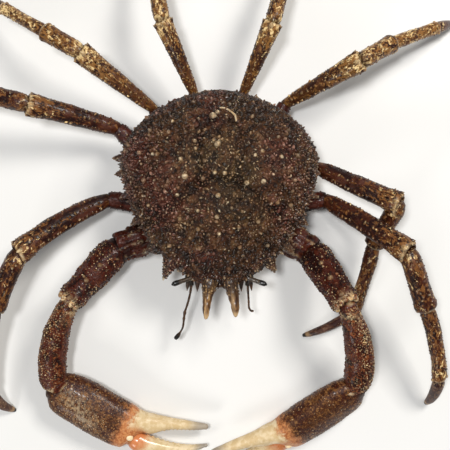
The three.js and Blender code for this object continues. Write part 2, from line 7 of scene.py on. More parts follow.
import bpy
import numpy as np
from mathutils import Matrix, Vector


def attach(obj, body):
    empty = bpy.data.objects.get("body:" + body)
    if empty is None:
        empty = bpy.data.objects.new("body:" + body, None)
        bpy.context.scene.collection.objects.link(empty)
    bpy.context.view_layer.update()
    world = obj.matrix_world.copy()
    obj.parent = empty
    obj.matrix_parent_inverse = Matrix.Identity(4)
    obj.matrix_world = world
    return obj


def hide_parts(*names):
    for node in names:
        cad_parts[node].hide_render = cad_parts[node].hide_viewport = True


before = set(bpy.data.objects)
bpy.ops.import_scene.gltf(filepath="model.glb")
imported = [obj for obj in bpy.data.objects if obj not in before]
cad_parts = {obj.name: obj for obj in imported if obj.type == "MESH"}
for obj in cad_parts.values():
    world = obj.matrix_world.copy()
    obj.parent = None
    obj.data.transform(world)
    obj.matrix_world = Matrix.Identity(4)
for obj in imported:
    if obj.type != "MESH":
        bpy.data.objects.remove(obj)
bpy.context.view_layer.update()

SHIFT = np.array([39.4, 2.99, 0.0])  # midline frame to part frame, mm
RNG = np.random.default_rng(20417)

# ------------------------------------------------------------------ camera

CAMERA_AT = (0.04365, -0.02531, 0.700)  # straight above, top of the picture to the rear
camera_data = bpy.data.cameras.new("camera")
camera_data.lens = 69.68
camera_data.sensor_width = 36.0
camera_data.clip_start = 0.01
camera = bpy.data.objects.new("camera", camera_data)
camera.location = CAMERA_AT
camera.rotation_euler = (0.0, 0.0, 0.0)
bpy.context.scene.collection.objects.link(camera)
bpy.context.scene.camera = camera

# ----------------------------------------------------------------- helpers


def vec(*a):
    return np.array(a, float)


def unit(v):
    return v / np.maximum(np.linalg.norm(v, axis=-1, keepdims=True), 1e-12)


def smooth(x, a, b):
    t = np.clip((np.asarray(x, float) - a) / (b - a), 0, 1)
    return t * t * (3 - 2 * t)


def direction(azimuth, rise):
    a, r = math.radians(azimuth), math.radians(rise)
    return vec(math.cos(r) * math.cos(a), math.cos(r) * math.sin(a), math.sin(r))


def axes(a, b, roll=0.0):
    along = unit(b - a)
    ref = vec(0, 1, 0) if abs(along[2]) > 0.99 else vec(0, 0, 1)
    side = unit(np.cross(along, ref))
    up = unit(np.cross(side, along))
    c, s = math.cos(math.radians(roll)), math.sin(math.radians(roll))
    return along, side * c + up * s, up * c - side * s


def _lattice(i, j, k, seed):
    h = (i * 374761393 + j * 668265263 + k * 1440662683 + seed * 974634777) & 0xFFFFFFFF
    h = ((h ^ (h >> 13)) * 1274126177) & 0xFFFFFFFF
    return ((h ^ (h >> 16)) & 0xFFFF) / 32767.5 - 1.0


def noise(p, size, seed=0):
    """Smooth value noise from -1 to 1 over points in mm, with bumps of about that size."""
    q = np.asarray(p, float) / size + 1000.0
    i = np.floor(q).astype(np.int64)
    f = q - i
    f = f * f * (3 - 2 * f)
    out = 0.0
    for a in (0, 1):
        for b in (0, 1):
            for c in (0, 1):
                w = (
                    (f[..., 0] if a else 1 - f[..., 0])
                    * (f[..., 1] if b else 1 - f[..., 1])
                    * (f[..., 2] if c else 1 - f[..., 2])
                )
                out = out + w * _lattice(i[..., 0] + a, i[..., 1] + b, i[..., 2] + c, seed)
    return out


def fbm(p, size, seed=0, octaves=3):
    return sum(noise(p, size / 2**o, seed + o) * 0.5**o for o in range(octaves))


def curve_through(x, y, at):
    """Monotone cubic through the points (x, y), y with any number of columns."""
    x, y = np.asarray(x, float), np.asarray(y, float)
    h = np.diff(x)[:, None]
    s = np.diff(y, axis=0) / h
    m = np.zeros_like(y)
    m[0], m[-1] = s[0], s[-1]
    flat = s[:-1] * s[1:] <= 0
    w1, w2 = 2 * h[1:] + h[:-1], h[1:] + 2 * h[:-1]
    with np.errstate(divide="ignore", invalid="ignore"):
        m[1:-1] = np.where(flat, 0, (w1 + w2) / (w1 / s[:-1] + w2 / s[1:]))
    at = np.clip(at, x[0], x[-1])
    i = np.clip(np.searchsorted(x, at, side="right") - 1, 0, len(x) - 2)
    d = h[i, 0][..., None]
    t = ((at - x[i]) / h[i, 0])[..., None]
    return (
        (2 * t**3 - 3 * t**2 + 1) * y[i]
        + (t**3 - 2 * t**2 + t) * d * m[i]
        + (3 * t**2 - 2 * t**3) * y[i + 1]
        + (t**3 - t**2) * d * m[i + 1]
    )


TRAITS = ("pale", "dark", "warm", "along", "bright")


class Bag:
    """Vertices, faces and per-vertex traits of one piece, gathered part by part."""

    def __init__(self):
        self.v, self.f, self.n = [], [], 0
        self.t = {k: [] for k in TRAITS}
        self.uv = []
        self.grain, self.local = [], None

    def add(self, verts, faces, uv=None, **traits):
        verts = np.asarray(verts, float)
        self.v.append(verts)
        self.grain.append(verts if self.local is None else self.local(verts))
        for f in faces:
            self.f.append(np.asarray(f, np.int64) + self.n)
        for k in TRAITS:
            value = traits.get(k, 0.0)
            self.t[k].append(np.broadcast_to(np.asarray(value, float), (len(verts),)).copy())
        if uv is not None:
            self.uv.append(uv)
        self.n += len(verts)

    def mirror(self):
        self.v = [v * vec(-1, 1, 1) for v in self.v]
        self.f = [f[:, ::-1] for f in self.f]
        return self

    def build(self, name, material, slot, node=None, flat=False):
        v = np.concatenate(self.v)
        v[:, 2] = np.maximum(v[:, 2], 0.0)
        mesh = bpy.data.meshes.new(name)
        co = ((v + SHIFT) / 1000).astype(np.float32)
        sizes = np.concatenate([np.full(len(f), f.shape[1]) for f in self.f])
        loops = np.concatenate([f.ravel() for f in self.f])
        starts = np.concatenate([[0], np.cumsum(sizes)[:-1]])
        mesh.vertices.add(len(co))
        mesh.vertices.foreach_set("co", co.ravel())
        mesh.loops.add(len(loops))
        mesh.loops.foreach_set("vertex_index", loops.astype(np.int32))
        mesh.polygons.add(len(sizes))
        mesh.polygons.foreach_set("loop_start", starts.astype(np.int32))
        mesh.polygons.foreach_set("use_smooth", np.full(len(sizes), not flat))
        for k in TRAITS:
            a = mesh.attributes.new(k, "FLOAT", "POINT")
            a.data.foreach_set("value", np.concatenate(self.t[k]).astype(np.float32))
        a = mesh.attributes.new("grain", "FLOAT_VECTOR", "POINT")
        a.data.foreach_set("vector", (np.concatenate(self.grain) / 1000).astype(np.float32).ravel())
        if self.uv:
            layer = mesh.uv_layers.new(name="OFBake")
            uv = np.concatenate(self.uv)
            layer.data.foreach_set("uv", uv[loops].astype(np.float32).ravel())
        mesh.update(calc_edges=True)
        mesh.validate()
        mesh.materials.append(material)
        piece = bpy.data.objects.new(name, mesh)
        bpy.context.scene.collection.objects.link(piece)
        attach(piece, "root")
        if node:
            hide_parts(*([node] if isinstance(node, str) else node))
        return piece


def strip(rows, cols, closed=True):
    """Quads between rows of a grid of rows x cols vertices; the last column joins the first if closed."""
    i = np.arange(rows - 1)[:, None] * cols
    j = np.arange(cols if closed else cols - 1)[None, :]
    k = (j + 1) % cols
    return np.stack([i + j, i + k, i + cols + k, i + cols + j], -1).reshape(-1, 4)


def fan(pole, first, cols, flip=False):
    j = np.arange(cols)
    k = (j + 1) % cols
    t = np.stack([np.full(cols, pole), first + k, first + j], -1)
    return t[:, ::-1] if flip else t


def sweep(path, radius, cols, flat=1.0, ridges=0.0, rough=0.0, seed=0):
    """A closed body of rounded sections along a path, with each vertex's share of the way."""
    tangent = unit(np.gradient(path, axis=0))
    side = unit(np.cross(tangent, vec(0, 0, 1)))
    up = np.cross(side, tangent)
    a = np.arange(cols) / cols * 2 * math.pi
    out = np.cos(a)[None, :, None] * side[:, None] + flat * np.sin(a)[None, :, None] * up[:, None]
    wide = radius[:, None] * (1 + ridges * np.cos(7 * a)[None])
    wide = wide + rough * radius[:, None] ** 0.5 * fbm(path[:, None] + wide[..., None] * out, 2.2, seed, 2)
    ring = path[:, None] + wide[..., None] * out
    verts, faces = tube(ring, path[0] - tangent[0] * radius[0] * 0.6, path[-1] + tangent[-1] * radius[-1] * 0.75)
    return verts, faces, np.concatenate([np.repeat(np.linspace(0, 1, len(path)), cols), [0, 1]])


def outward(verts, faces):
    """Turns the faces round if the closed body they make is inside out."""
    total = 0.0
    for f in faces:
        a, b, c = verts[f[:, 0]], verts[f[:, 1]], verts[f[:, 2]]
        total += np.einsum("ij,ij->i", a, np.cross(b, c)).sum()
        if f.shape[1] == 4:
            d = verts[f[:, 3]]
            total += np.einsum("ij,ij->i", a, np.cross(c, d)).sum()
    return faces if total > 0 else [f[:, ::-1] for f in faces]


def tube(rings, start, end):
    """A closed body over rings (rows, cols, 3) with a pole at each end."""
    rows, cols = rings.shape[:2]
    verts = np.concatenate([rings.reshape(-1, 3), [start, end]])
    n = rows * cols
    faces = [strip(rows, cols), np.concatenate([fan(n, 0, cols), fan(n + 1, n - cols, cols, True)])]
    return verts, outward(verts, faces)


# Small domes, knobs and cones: profile is (share of radius, share of height) from the foot up.
DOME = [(1.0, -0.45), (0.97, 0.15), (0.66, 0.74)]
FINE_DOME = [(1.0, -0.5), (0.86, 0.5)]
KNOB = [(1.25, -0.4), (1.0, 0.1), (0.8, 0.55), (0.45, 0.88)]
CONE = [(1.35, -0.35), (1.0, 0.05), (0.68, 0.42), (0.34, 0.78)]


def bumps(at, axis, radius, height, profile, sides=6, uneven=0.0):
    """Many small closed bumps at once. Returns vertices, faces, each vertex's share of height, and its bump."""
    at, axis = np.asarray(at, float), unit(np.asarray(axis, float))
    count = len(at)
    ref = np.where(np.abs(axis[:, 2:3]) > 0.9, vec(1, 0, 0)[None], vec(0, 0, 1)[None])
    u = unit(np.cross(axis, ref))
    w = np.cross(axis, u)
    turn = (np.arange(count) * 2.399963) % (2 * math.pi)
    c, s = np.cos(turn * 7.3)[:, None], np.sin(turn * 7.3)[:, None]
    u, w = u * c + w * s, w * c - u * s
    long = np.exp(uneven * np.sin(turn * 5.1))  # drawn out one way, narrowed the other
    skew = uneven * radius * np.sin(turn * 11.7)
    rings = []
    level = []
    for r, h in profile:
        a = turn[:, None] + np.arange(sides)[None] * 2 * math.pi / sides
        ca, sa = np.cos(a)[..., None], np.sin(a)[..., None]
        rr = (radius * r)[:, None, None] * (1 + 0.35 * uneven * np.sin(2 * a + turn[:, None] * 3.7) + 0.3 * uneven * np.sin(3 * a + turn[:, None] * 9.1))[..., None]
        lean = (skew * max(h, 0))[:, None, None] * u[:, None]
        p = at[:, None] + rr * (u[:, None] * ca * long[:, None, None] + w[:, None] * sa / long[:, None, None]) + (height * h)[:, None, None] * axis[:, None] + lean
        rings.append(p)
        level.append(np.full((count, sides), max(h, 0)))
    base = at + axis * (height * (profile[0][1] - 0.15))[:, None]
    top = at + axis * height[:, None] + skew[:, None] * u
    per = len(profile) * sides + 2
    verts = np.concatenate([np.stack(rings, 1).reshape(count, -1, 3), base[:, None], top[:, None]], 1)
    share = np.concatenate([np.stack(level, 1).reshape(count, -1), np.zeros((count, 1)), np.ones((count, 1))], 1)
    quads = strip(len(profile), sides)
    n = len(profile) * sides
    tris = np.concatenate([fan(n, 0, sides), fan(n + 1, n - sides, sides, True)])
    one = outward(verts[0], [quads, tris])
    offset = (np.arange(count) * per)[:, None, None]
    faces = [(f[None] + offset).reshape(-1, f.shape[1]) for f in one]
    return verts.reshape(-1, 3), faces, share.ravel(), np.repeat(np.arange(count), per)


def spread(points, gap, limit=100000):
    """Indices of points kept so that none is nearer than its own gap to one kept before."""
    gap = np.broadcast_to(np.asarray(gap, float), (len(points),))
    cell = float(gap.max())
    keys = np.floor(points / cell).astype(int)
    grid, kept = {}, []
    for i, (p, k) in enumerate(zip(points, keys)):
        ok = True
        for a in (-1, 0, 1):
            for b in (-1, 0, 1):
                for c in (-1, 0, 1):
                    for q in grid.get((k[0] + a, k[1] + b, k[2] + c), ()):
                        d = points[q] - p
                        if d[0] * d[0] + d[1] * d[1] + d[2] * d[2] < gap[i] * gap[i]:
                            ok = False
                            break
                    if not ok:
                        break
                if not ok:
                    break
            if not ok:
                break
        if ok:
            grid.setdefault((k[0], k[1], k[2]), []).append(i)
            kept.append(i)
            if len(kept) >= limit:
                break
    return np.array(kept, int)


def point_normals(verts, faces):
    n = np.zeros_like(verts)
    for f in faces:
        a, b, c = verts[f[:, 0]], verts[f[:, 1]], verts[f[:, 2]]
        m = np.cross(b - a, c - a)
        if f.shape[1] == 4:
            m = m + np.cross(c - a, verts[f[:, 3]] - a)
        for k in range(f.shape[1]):
            np.add.at(n, f[:, k], m)
    return unit(n)


# --------------------------------------------------------------- materials


def srgb(r, g, b, contrast=1.3):
    """A colour as it looks lit; the darks are taken down a little further."""

    def lin(c):
        c /= 255
        c = c / 12.92 if c <= 0.04045 else ((c + 0.055) / 1.055) ** 2.4
        return min(0.9, 1.1 * c**contrast if contrast > 1 else c)

    return (lin(r), lin(g), lin(b), 1.0)


class Finish:
    """Builds one procedural material."""

    def __init__(self, name, coat=0.35, coat_roughness=0.12, specular=0.5, local=False):
        self.material = bpy.data.materials.new(name)
        self.material.use_nodes = True
        self.tree = self.material.node_tree
        self.tree.nodes.clear()
        self.out = self.tree.nodes.new("ShaderNodeOutputMaterial")
        self.bsdf = self.tree.nodes.new("ShaderNodeBsdfPrincipled")
        self.tree.links.new(self.bsdf.outputs["BSDF"], self.out.inputs["Surface"])
        self.bsdf.inputs["Coat Weight"].default_value = coat
        self.bsdf.inputs["Coat Roughness"].default_value = coat_roughness
        self.bsdf.inputs["Specular IOR Level"].default_value = specular
        if local:  # along, across and up the piece itself
            n = self.tree.nodes.new("ShaderNodeAttribute")
            n.attribute_name = "grain"
            self.coords = n.outputs["Vector"]
        else:
            self.coords = self.tree.nodes.new("ShaderNodeTexCoord").outputs["Object"]

    def put(self, socket, value):
        if isinstance(value, (int, float)):
            socket.default_value = value
        elif isinstance(value, tuple):
            socket.default_value = value
        else:
            self.tree.links.new(value, socket)

    def noise(self, mm, detail=3.0, roughness=0.55, distortion=0.0, seed=0.0):
        n = self.tree.nodes.new("ShaderNodeTexNoise")
        n.noise_dimensions = "4D"
        n.inputs["W"].default_value = seed
        n.inputs["Scale"].default_value = 1000.0 / mm
        n.inputs["Detail"].default_value = detail
        n.inputs["Roughness"].default_value = roughness
        n.inputs["Distortion"].default_value = distortion
        self.tree.links.new(self.coords, n.inputs["Vector"])
        return n.outputs["Fac"]

    def cells(self, mm, feature="F1", randomness=1.0):
        n = self.tree.nodes.new("ShaderNodeTexVoronoi")
        n.feature = feature
        n.inputs["Scale"].default_value = 1000.0 / mm
        n.inputs["Randomness"].default_value = randomness
        self.tree.links.new(self.coords, n.inputs["Vector"])
        return n.outputs["Distance"]

    def trait(self, name):
        n = self.tree.nodes.new("ShaderNodeAttribute")
        n.attribute_name = name
        return n.outputs["Fac"]

    def math(self, op, a, b=0.0, clamp=False):
        n = self.tree.nodes.new("ShaderNodeMath")
        n.operation = op
        n.use_clamp = clamp
        self.put(n.inputs[0], a)
        self.put(n.inputs[1], b)
        return n.outputs[0]

    def span(self, value, lo, hi, out_lo=0.0, out_hi=1.0):
        """Maps lo..hi smoothly to out_lo..out_hi."""
        n = self.tree.nodes.new("ShaderNodeMapRange")
        n.interpolation_type = "SMOOTHSTEP"
        n.inputs["From Min"].default_value = lo
        n.inputs["From Max"].default_value = hi
        n.inputs["To Min"].default_value = out_lo
        n.inputs["To Max"].default_value = out_hi
        self.tree.links.new(value, n.inputs["Value"])
        return n.outputs["Result"]

    def mix(self, share, a, b, blend="MIX"):
        n = self.tree.nodes.new("ShaderNodeMix")
        n.data_type = "RGBA"
        n.blend_type = blend
        self.put(n.inputs["Factor"], share)
        self.put(n.inputs["A"], a)
        self.put(n.inputs["B"], b)
        return n.outputs["Result"]

    def bump(self, height, mm, strength=1.0, over=None):
        n = self.tree.nodes.new("ShaderNodeBump")
        n.inputs["Strength"].default_value = strength
        n.inputs["Distance"].default_value = mm / 1000.0
        self.tree.links.new(height, n.inputs["Height"])
        if over is not None:
            self.tree.links.new(over, n.inputs["Normal"])
        return n.outputs["Normal"]

    def done(self, colour, roughness, normal=None):
        self.put(self.bsdf.inputs["Base Color"], colour)
        self.put(self.bsdf.inputs["Roughness"], roughness)
        if normal is not None:
            self.tree.links.new(normal, self.bsdf.inputs["Normal"])
        return self.material


def carapace_finish(name, wet):
    m = Finish(name, coat=0.35 if wet else 0.0, coat_roughness=0.08, specular=0.35 if wet else 0.15)
    large = m.noise(26, 2, 0.5, 0.3, 1.0)
    mid = m.noise(8, 3, 0.6, 0.6, 2.0)
    clump = m.noise(4.4, 3, 0.65, 1.1, 6.0)
    fine = m.noise(2.2, 2, 0.6, 0.0, 3.0)
    brown = m.mix(m.span(mid, 0.38, 0.62), srgb(92, 62, 41), srgb(122, 86, 57))
    red = m.mix(m.span(fine, 0.35, 0.65), srgb(126, 74, 54), srgb(100, 58, 47))
    olive = m.mix(m.span(fine, 0.35, 0.65), srgb(106, 82, 50), srgb(92, 72, 49))
    lean = m.math("ADD", m.trait("warm"), m.math("MULTIPLY", m.math("SUBTRACT", large, 0.5), 3.0))
    colour = m.mix(m.span(lean, 0.0, 0.75), brown, red)
    colour = m.mix(m.span(lean, 0.0, -0.75), colour, olive)
    # lighter and darker clusters, and lighter and darker single granules; the bright trait also carries painted shade
    # towards the front and rear ends of the back
    shade = m.math("ADD", m.math("MULTIPLY", m.trait("bright"), 0.8), m.math("MULTIPLY", m.math("SUBTRACT", mid, 0.5), 2.6))
    shade = m.math("ADD", shade, m.math("MULTIPLY", m.math("SUBTRACT", clump, 0.5), 4.2))
    light = m.mix(m.span(lean, -0.1, 0.6), srgb(176, 148, 112), srgb(188, 150, 132))
    colour = m.mix(m.span(shade, 0.15, 1.3, 0.0, 0.8), colour, light)
    colour = m.mix(m.span(shade, 0.15, -0.95, 0.0, 0.88), colour, srgb(34, 22, 17))
    # The dark trait is partly the shell's own darker colour and partly painted shade: in the grooves and hollows of the
    # back, at the feet of granules and knobs, and towards the front and rear ends.
    colour = m.mix(m.math("MULTIPLY", m.trait("dark"), 0.95, True), colour, srgb(20, 13, 10))
    # Irregular pale flecks, partly pale crust and partly painted glints of wet granules.
    fleck = m.noise(2.6, 4, 0.75, 1.3, 9.0)
    colour = m.mix(m.span(m.math("ADD", fleck, m.math("MULTIPLY", m.trait("bright"), 0.03)), 0.605, 0.69, 0.0, 0.85), colour, srgb(212, 196, 168))
    # Pale tips of granules and knobs, partly pale crust and partly painted glints of wet tips.
    tip = m.mix(m.span(fine, 0.4, 0.6), srgb(196, 170, 134), srgb(230, 214, 184))
    colour = m.mix(m.math("MULTIPLY", m.trait("pale"), 1.0, True), colour, tip)
    rough = m.span(mid, 0.3, 0.7, 0.28, 0.48) if wet else m.span(mid, 0.3, 0.7, 0.55, 0.72)
    normal = m.bump(m.noise(0.9, 3, 0.7, 0.0, 5.0), 0.35, 0.8)
    return m.done(colour, rough, normal)


def horn_finish():
    m = Finish("carapace_horn", coat=0.2, coat_roughness=0.15, specular=0.35, local=True)
    streak = m.noise(1.9, 3, 0.6, 0.5, 4.0)
    fine = m.noise(0.9, 2, 0.6, 0.0, 6.0)
    colour = m.mix(m.span(streak, 0.4, 0.6), srgb(84, 57, 37), srgb(138, 106, 68))
    colour = m.mix(m.span(streak, 0.56, 0.68, 0.0, 0.8), colour, srgb(206, 176, 130))
    colour = m.mix(m.span(streak, 0.42, 0.32, 0.0, 0.7), colour, srgb(46, 29, 20))
    colour = m.mix(m.math("MULTIPLY", m.trait("dark"), 0.85, True), colour, srgb(40, 26, 20))
    colour = m.mix(m.math("MULTIPLY", m.trait("pale"), 1.0, True), colour, srgb(218, 190, 150))
    rough = m.span(fine, 0.3, 0.7, 0.3, 0.5)
    return m.done(colour, rough, m.bump(streak, 0.3, 0.7))


def leg_finish(name, tones, gold, cream, hollow_shade=0.65, tipdark=False):
    """tones: two dark ground colours, a lighter one and a cream; gold and cream: how rare the last two are."""
    m = Finish(name, coat=0.12, coat_roughness=0.1, specular=0.2, local=True)
    large = m.noise(9, 2, 0.55, 0.8, 7.0)
    middle = m.noise(3.0, 3, 0.68, 0.9, 8.0)
    other = m.noise(3.5, 4, 0.7, 1.2, 17.0)
    fine = m.noise(1.3, 2, 0.6, 0.0, 9.0)
    lean = m.math("ADD", large, m.math("MULTIPLY", m.trait("warm"), 0.3))
    colour = m.mix(m.span(lean, 0.42, 0.58), tones[0], tones[1])
    lift = m.math("MULTIPLY", m.trait("bright"), 0.13)
    colour = m.mix(m.span(m.math("ADD", middle, lift), gold, gold + 0.08, 0.0, 0.9), colour, tones[2])
    light = m.mix(m.span(fine, 0.4, 0.6), tones[3], srgb(240, 216, 170))
    colour = m.mix(m.span(large, 0.56, 0.68, 0.0, 0.5), colour, srgb(106, 74, 66))
    colour = m.mix(m.span(m.math("ADD", other, lift), cream, cream + 0.07, 0.0, 0.92), colour, light)
    # Painted shade: darker where the fine bump pattern is low, in its hollows.
    colour = m.mix(m.span(fine, 0.48, 0.34, 0.0, hollow_shade), colour, srgb(26, 14, 11))
    colour = m.mix(m.math("MULTIPLY", m.trait("dark"), 0.85, True), colour, srgb(28, 17, 15))
    colour = m.mix(m.math("MULTIPLY", m.trait("pale"), 1.0, True), colour, m.mix(m.span(fine, 0.35, 0.6), srgb(206, 170, 120), srgb(236, 218, 182)))
    if tipdark:
        colour = m.mix(m.span(m.trait("along"), 0.83, 0.91, 0.0, 0.5), colour, srgb(196, 168, 132))
        colour = m.mix(m.span(m.trait("along"), 0.93, 0.975), colour, srgb(30, 22, 22))
    rough = m.span(middle, 0.3, 0.7, 0.3, 0.52)
    normal = m.bump(fine, 0.5, 0.9)
    return m.done(colour, rough, normal)


def palm_finish():
    m = Finish("claw_palm", coat=0.1, coat_roughness=0.12, specular=0.22)
    large = m.noise(18, 2, 0.5, 0.6, 11.0)
    middle = m.noise(4.2, 3, 0.6, 0.4, 12.0)
    fine = m.noise(1.4, 2, 0.6, 0.0, 13.0)
    colour = m.mix(m.span(large, 0.4, 0.6), srgb(86, 46, 28), srgb(98, 62, 36))
    colour = m.mix(m.span(middle, 0.48, 0.68, 0.0, 0.75), colour, srgb(146, 108, 66))
    colour = m.mix(m.span(fine, 0.56, 0.66, 0.0, 0.6), colour, srgb(176, 138, 92))
    colour = m.mix(m.span(fine, 0.5, 0.34, 0.0, 0.8), colour, srgb(40, 22, 15))
    # the palm turns orange and then ivory towards the fingers
    along = m.math("ADD", m.trait("along"), m.math("MULTIPLY", m.math("SUBTRACT", middle, 0.5), 0.16))
    orange = m.mix(m.span(fine, 0.35, 0.65), srgb(178, 118, 76), srgb(204, 152, 106))
    ivory = m.mix(m.span(middle, 0.4, 0.65), srgb(210, 188, 150), srgb(224, 207, 176))
    colour = m.mix(m.span(along, 0.46, 0.53), colour, orange)
    colour = m.mix(m.math("MULTIPLY", m.span(along, 0.53, 0.58), m.span(m.trait("warm"), 0.9, 0.1)), colour, ivory)
    colour = m.mix(m.span(m.trait("along"), 0.86, 0.97, 0.0, 0.8), colour, srgb(158, 150, 142))
    colour = m.mix(m.math("MULTIPLY", m.trait("dark"), 0.9, True), colour, srgb(40, 26, 18))
    # The pale trait brings in pale flecks, partly painted highlights on the outer side and beside the wrist.
    colour = m.mix(m.math("MULTIPLY", m.trait("pale"), 1.0, True), colour, srgb(236, 216, 182))
    rough = m.span(m.trait("along"), 0.5, 0.65, 0.34, 0.22)
    normal = m.bump(m.noise(1.1, 3, 0.65, 0.0, 14.0), 0.45, 0.85)
    return m.done(colour, rough, normal)


def finger_finish():
    m = Finish("claw_finger", coat=0.3, coat_roughness=0.12)
    middle = m.noise(6, 3, 0.55, 0.6, 21.0)
    fine = m.noise(1.5, 2, 0.6, 0.0, 22.0)
    along = m.math("ADD", m.trait("along"), m.math("MULTIPLY", m.math("SUBTRACT", middle, 0.5), 0.2))
    ivory = m.mix(m.span(middle, 0.4, 0.62), srgb(210, 190, 152), srgb(224, 208, 178))
    colour = m.mix(m.span(along, 0.34, 0.1), ivory, srgb(206, 142, 96))
    colour = m.mix(m.span(m.trait("along"), 0.8, 0.97, 0.0, 0.85), colour, srgb(152, 146, 140))
    colour = m.mix(m.math("MULTIPLY", m.trait("dark"), 0.8, True), colour, srgb(70, 52, 34))
    rough = m.span(fine, 0.3, 0.7, 0.18, 0.34)
    return m.done(colour, rough, m.bump(middle, 0.3, 0.4))


def underside_finish():
    m = Finish("underside", coat=0.25, coat_roughness=0.2)
    large = m.noise(16, 3, 0.55, 0.7, 31.0)
    middle = m.noise(4, 3, 0.6, 0.3, 32.0)
    fine = m.noise(1.3, 2, 0.6, 0.0, 33.0)
    colour = m.mix(m.span(large, 0.38, 0.62), srgb(206, 186, 150), srgb(184, 150, 112))
    colour = m.mix(m.span(middle, 0.56, 0.68, 0.0, 0.7), colour, srgb(150, 92, 66))
    colour = m.mix(m.math("MULTIPLY", m.trait("dark"), 0.85, True), colour, srgb(74, 48, 34))
    colour = m.mix(m.span(fine, 0.62, 0.74, 0.0, 0.5), colour, srgb(232, 220, 192))
    rough = m.span(middle, 0.3, 0.7, 0.36, 0.58)
    return m.done(colour, rough, m.bump(fine, 0.25, 0.5))


def mouth_finish():
    m = Finish("mouthparts", coat=0.3, coat_roughness=0.15)
    middle = m.noise(4.5, 3, 0.6, 0.5, 41.0)
    fine = m.noise(1.2, 2, 0.6, 0.0, 42.0)
    colour = m.mix(m.span(middle, 0.4, 0.6), srgb(112, 70, 46), srgb(160, 112, 76))
    colour = m.mix(m.math("MULTIPLY", m.trait("dark"), 0.85, True), colour, srgb(42, 26, 19))
    colour = m.mix(m.span(fine, 0.62, 0.72, 0.0, 0.5), colour, srgb(214, 190, 152))
    return m.done(colour, m.span(middle, 0.3, 0.7, 0.32, 0.52), m.bump(fine, 0.25, 0.6))


def eye_finish():
    m = Finish("eye", coat=0.35, coat_roughness=0.16, specular=0.4)
    middle = m.noise(1.4, 2, 0.6, 0.3, 51.0)
    facets = m.cells(0.28)
    stalk = m.mix(m.span(middle, 0.4, 0.62), srgb(58, 44, 31), srgb(100, 80, 56))
    glass = m.mix(m.span(facets, 0.0, 0.5), srgb(48, 44, 34), srgb(26, 24, 20))
    colour = m.mix(m.trait("dark"), stalk, glass)
    return m.done(colour, m.span(m.trait("dark"), 0.2, 0.9, 0.5, 0.25), m.bump(facets, 0.03, 0.4))


def antenna_finish():
    m = Finish("antenna", coat=0.1, coat_roughness=0.2, specular=0.25)
    middle = m.noise(1.6, 3, 0.6, 0.5, 61.0)
    colour = m.mix(m.span(middle, 0.4, 0.62), srgb(62, 42, 29), srgb(122, 92, 64))
    colour = m.mix(m.math("MULTIPLY", m.trait("dark"), 1.0, True), colour, srgb(30, 26, 20))
    return m.done(colour, m.span(middle, 0.3, 0.7, 0.4, 0.6), m.bump(middle, 0.15, 0.6))


CARAPACE_FINISH = carapace_finish("carapace_shell", False)
GRANULE_FINISH = carapace_finish("carapace_granules", True)
HORN_FINISH = horn_finish()
DARKS = (srgb(56, 30, 26), srgb(90, 52, 34))
LEG_FINISH = {
    "front": leg_finish("leg_shell_front", (*DARKS, srgb(142, 102, 62), srgb(206, 172, 120)), 0.525, 0.62),
    "rear": leg_finish("leg_shell_rear", (srgb(70, 42, 34), srgb(104, 70, 44), srgb(154, 116, 70), srgb(214, 184, 134)), 0.485, 0.565),
}
ROOT_FINISH = leg_finish("limb_root", (srgb(58, 26, 18), srgb(90, 42, 23), srgb(128, 76, 42), srgb(190, 142, 90)), 0.56, 0.67)
CLAW_FINISH = leg_finish("claw_shell", (srgb(54, 25, 20), srgb(98, 48, 29), srgb(146, 94, 56), srgb(212, 172, 124)), 0.52, 0.61, 0.85)
TIP_FINISH = leg_finish("leg_tip", (srgb(70, 44, 40), srgb(98, 68, 54), srgb(132, 104, 84), srgb(192, 166, 130)), 0.55, 0.64, 0.4, tipdark=True)
PALM_FINISH = palm_finish()
FINGER_FINISH = finger_finish()
UNDERSIDE_FINISH = underside_finish()
MOUTH_FINISH = mouth_finish()
EYE_FINISH = eye_finish()
ANTENNA_FINISH = antenna_finish()

# ------------------------------------------------------- limb measurements

LEG = {
    "leg1": dict(base=(50, -12, 19), length=(79.6, 48.0, 63.2, 39.5), radius=(8.1, 7.6, 6.0, 4.9), ischium=7.8),
    "leg2": dict(base=(47, 14, 19), length=(70.1, 41.2, 58.1, 43.8), radius=(7.7, 7.1, 5.6, 3.9), ischium=7.2),
    "leg3": dict(base=(36, 34, 20), length=(71.1, 33.4, 45.8, 35.8), radius=(7.1, 6.6, 5.0, 4.2), ischium=6.6),
    "leg4": dict(base=(18, 44, 21), length=(60.2, 32.0, 44.0, 33.6), radius=(6.3, 6.1, 4.7, 3.9), ischium=5.6),
}
CLAW = dict(base=(46, -34, 20), length=(55.4, 71.8, 77.6))
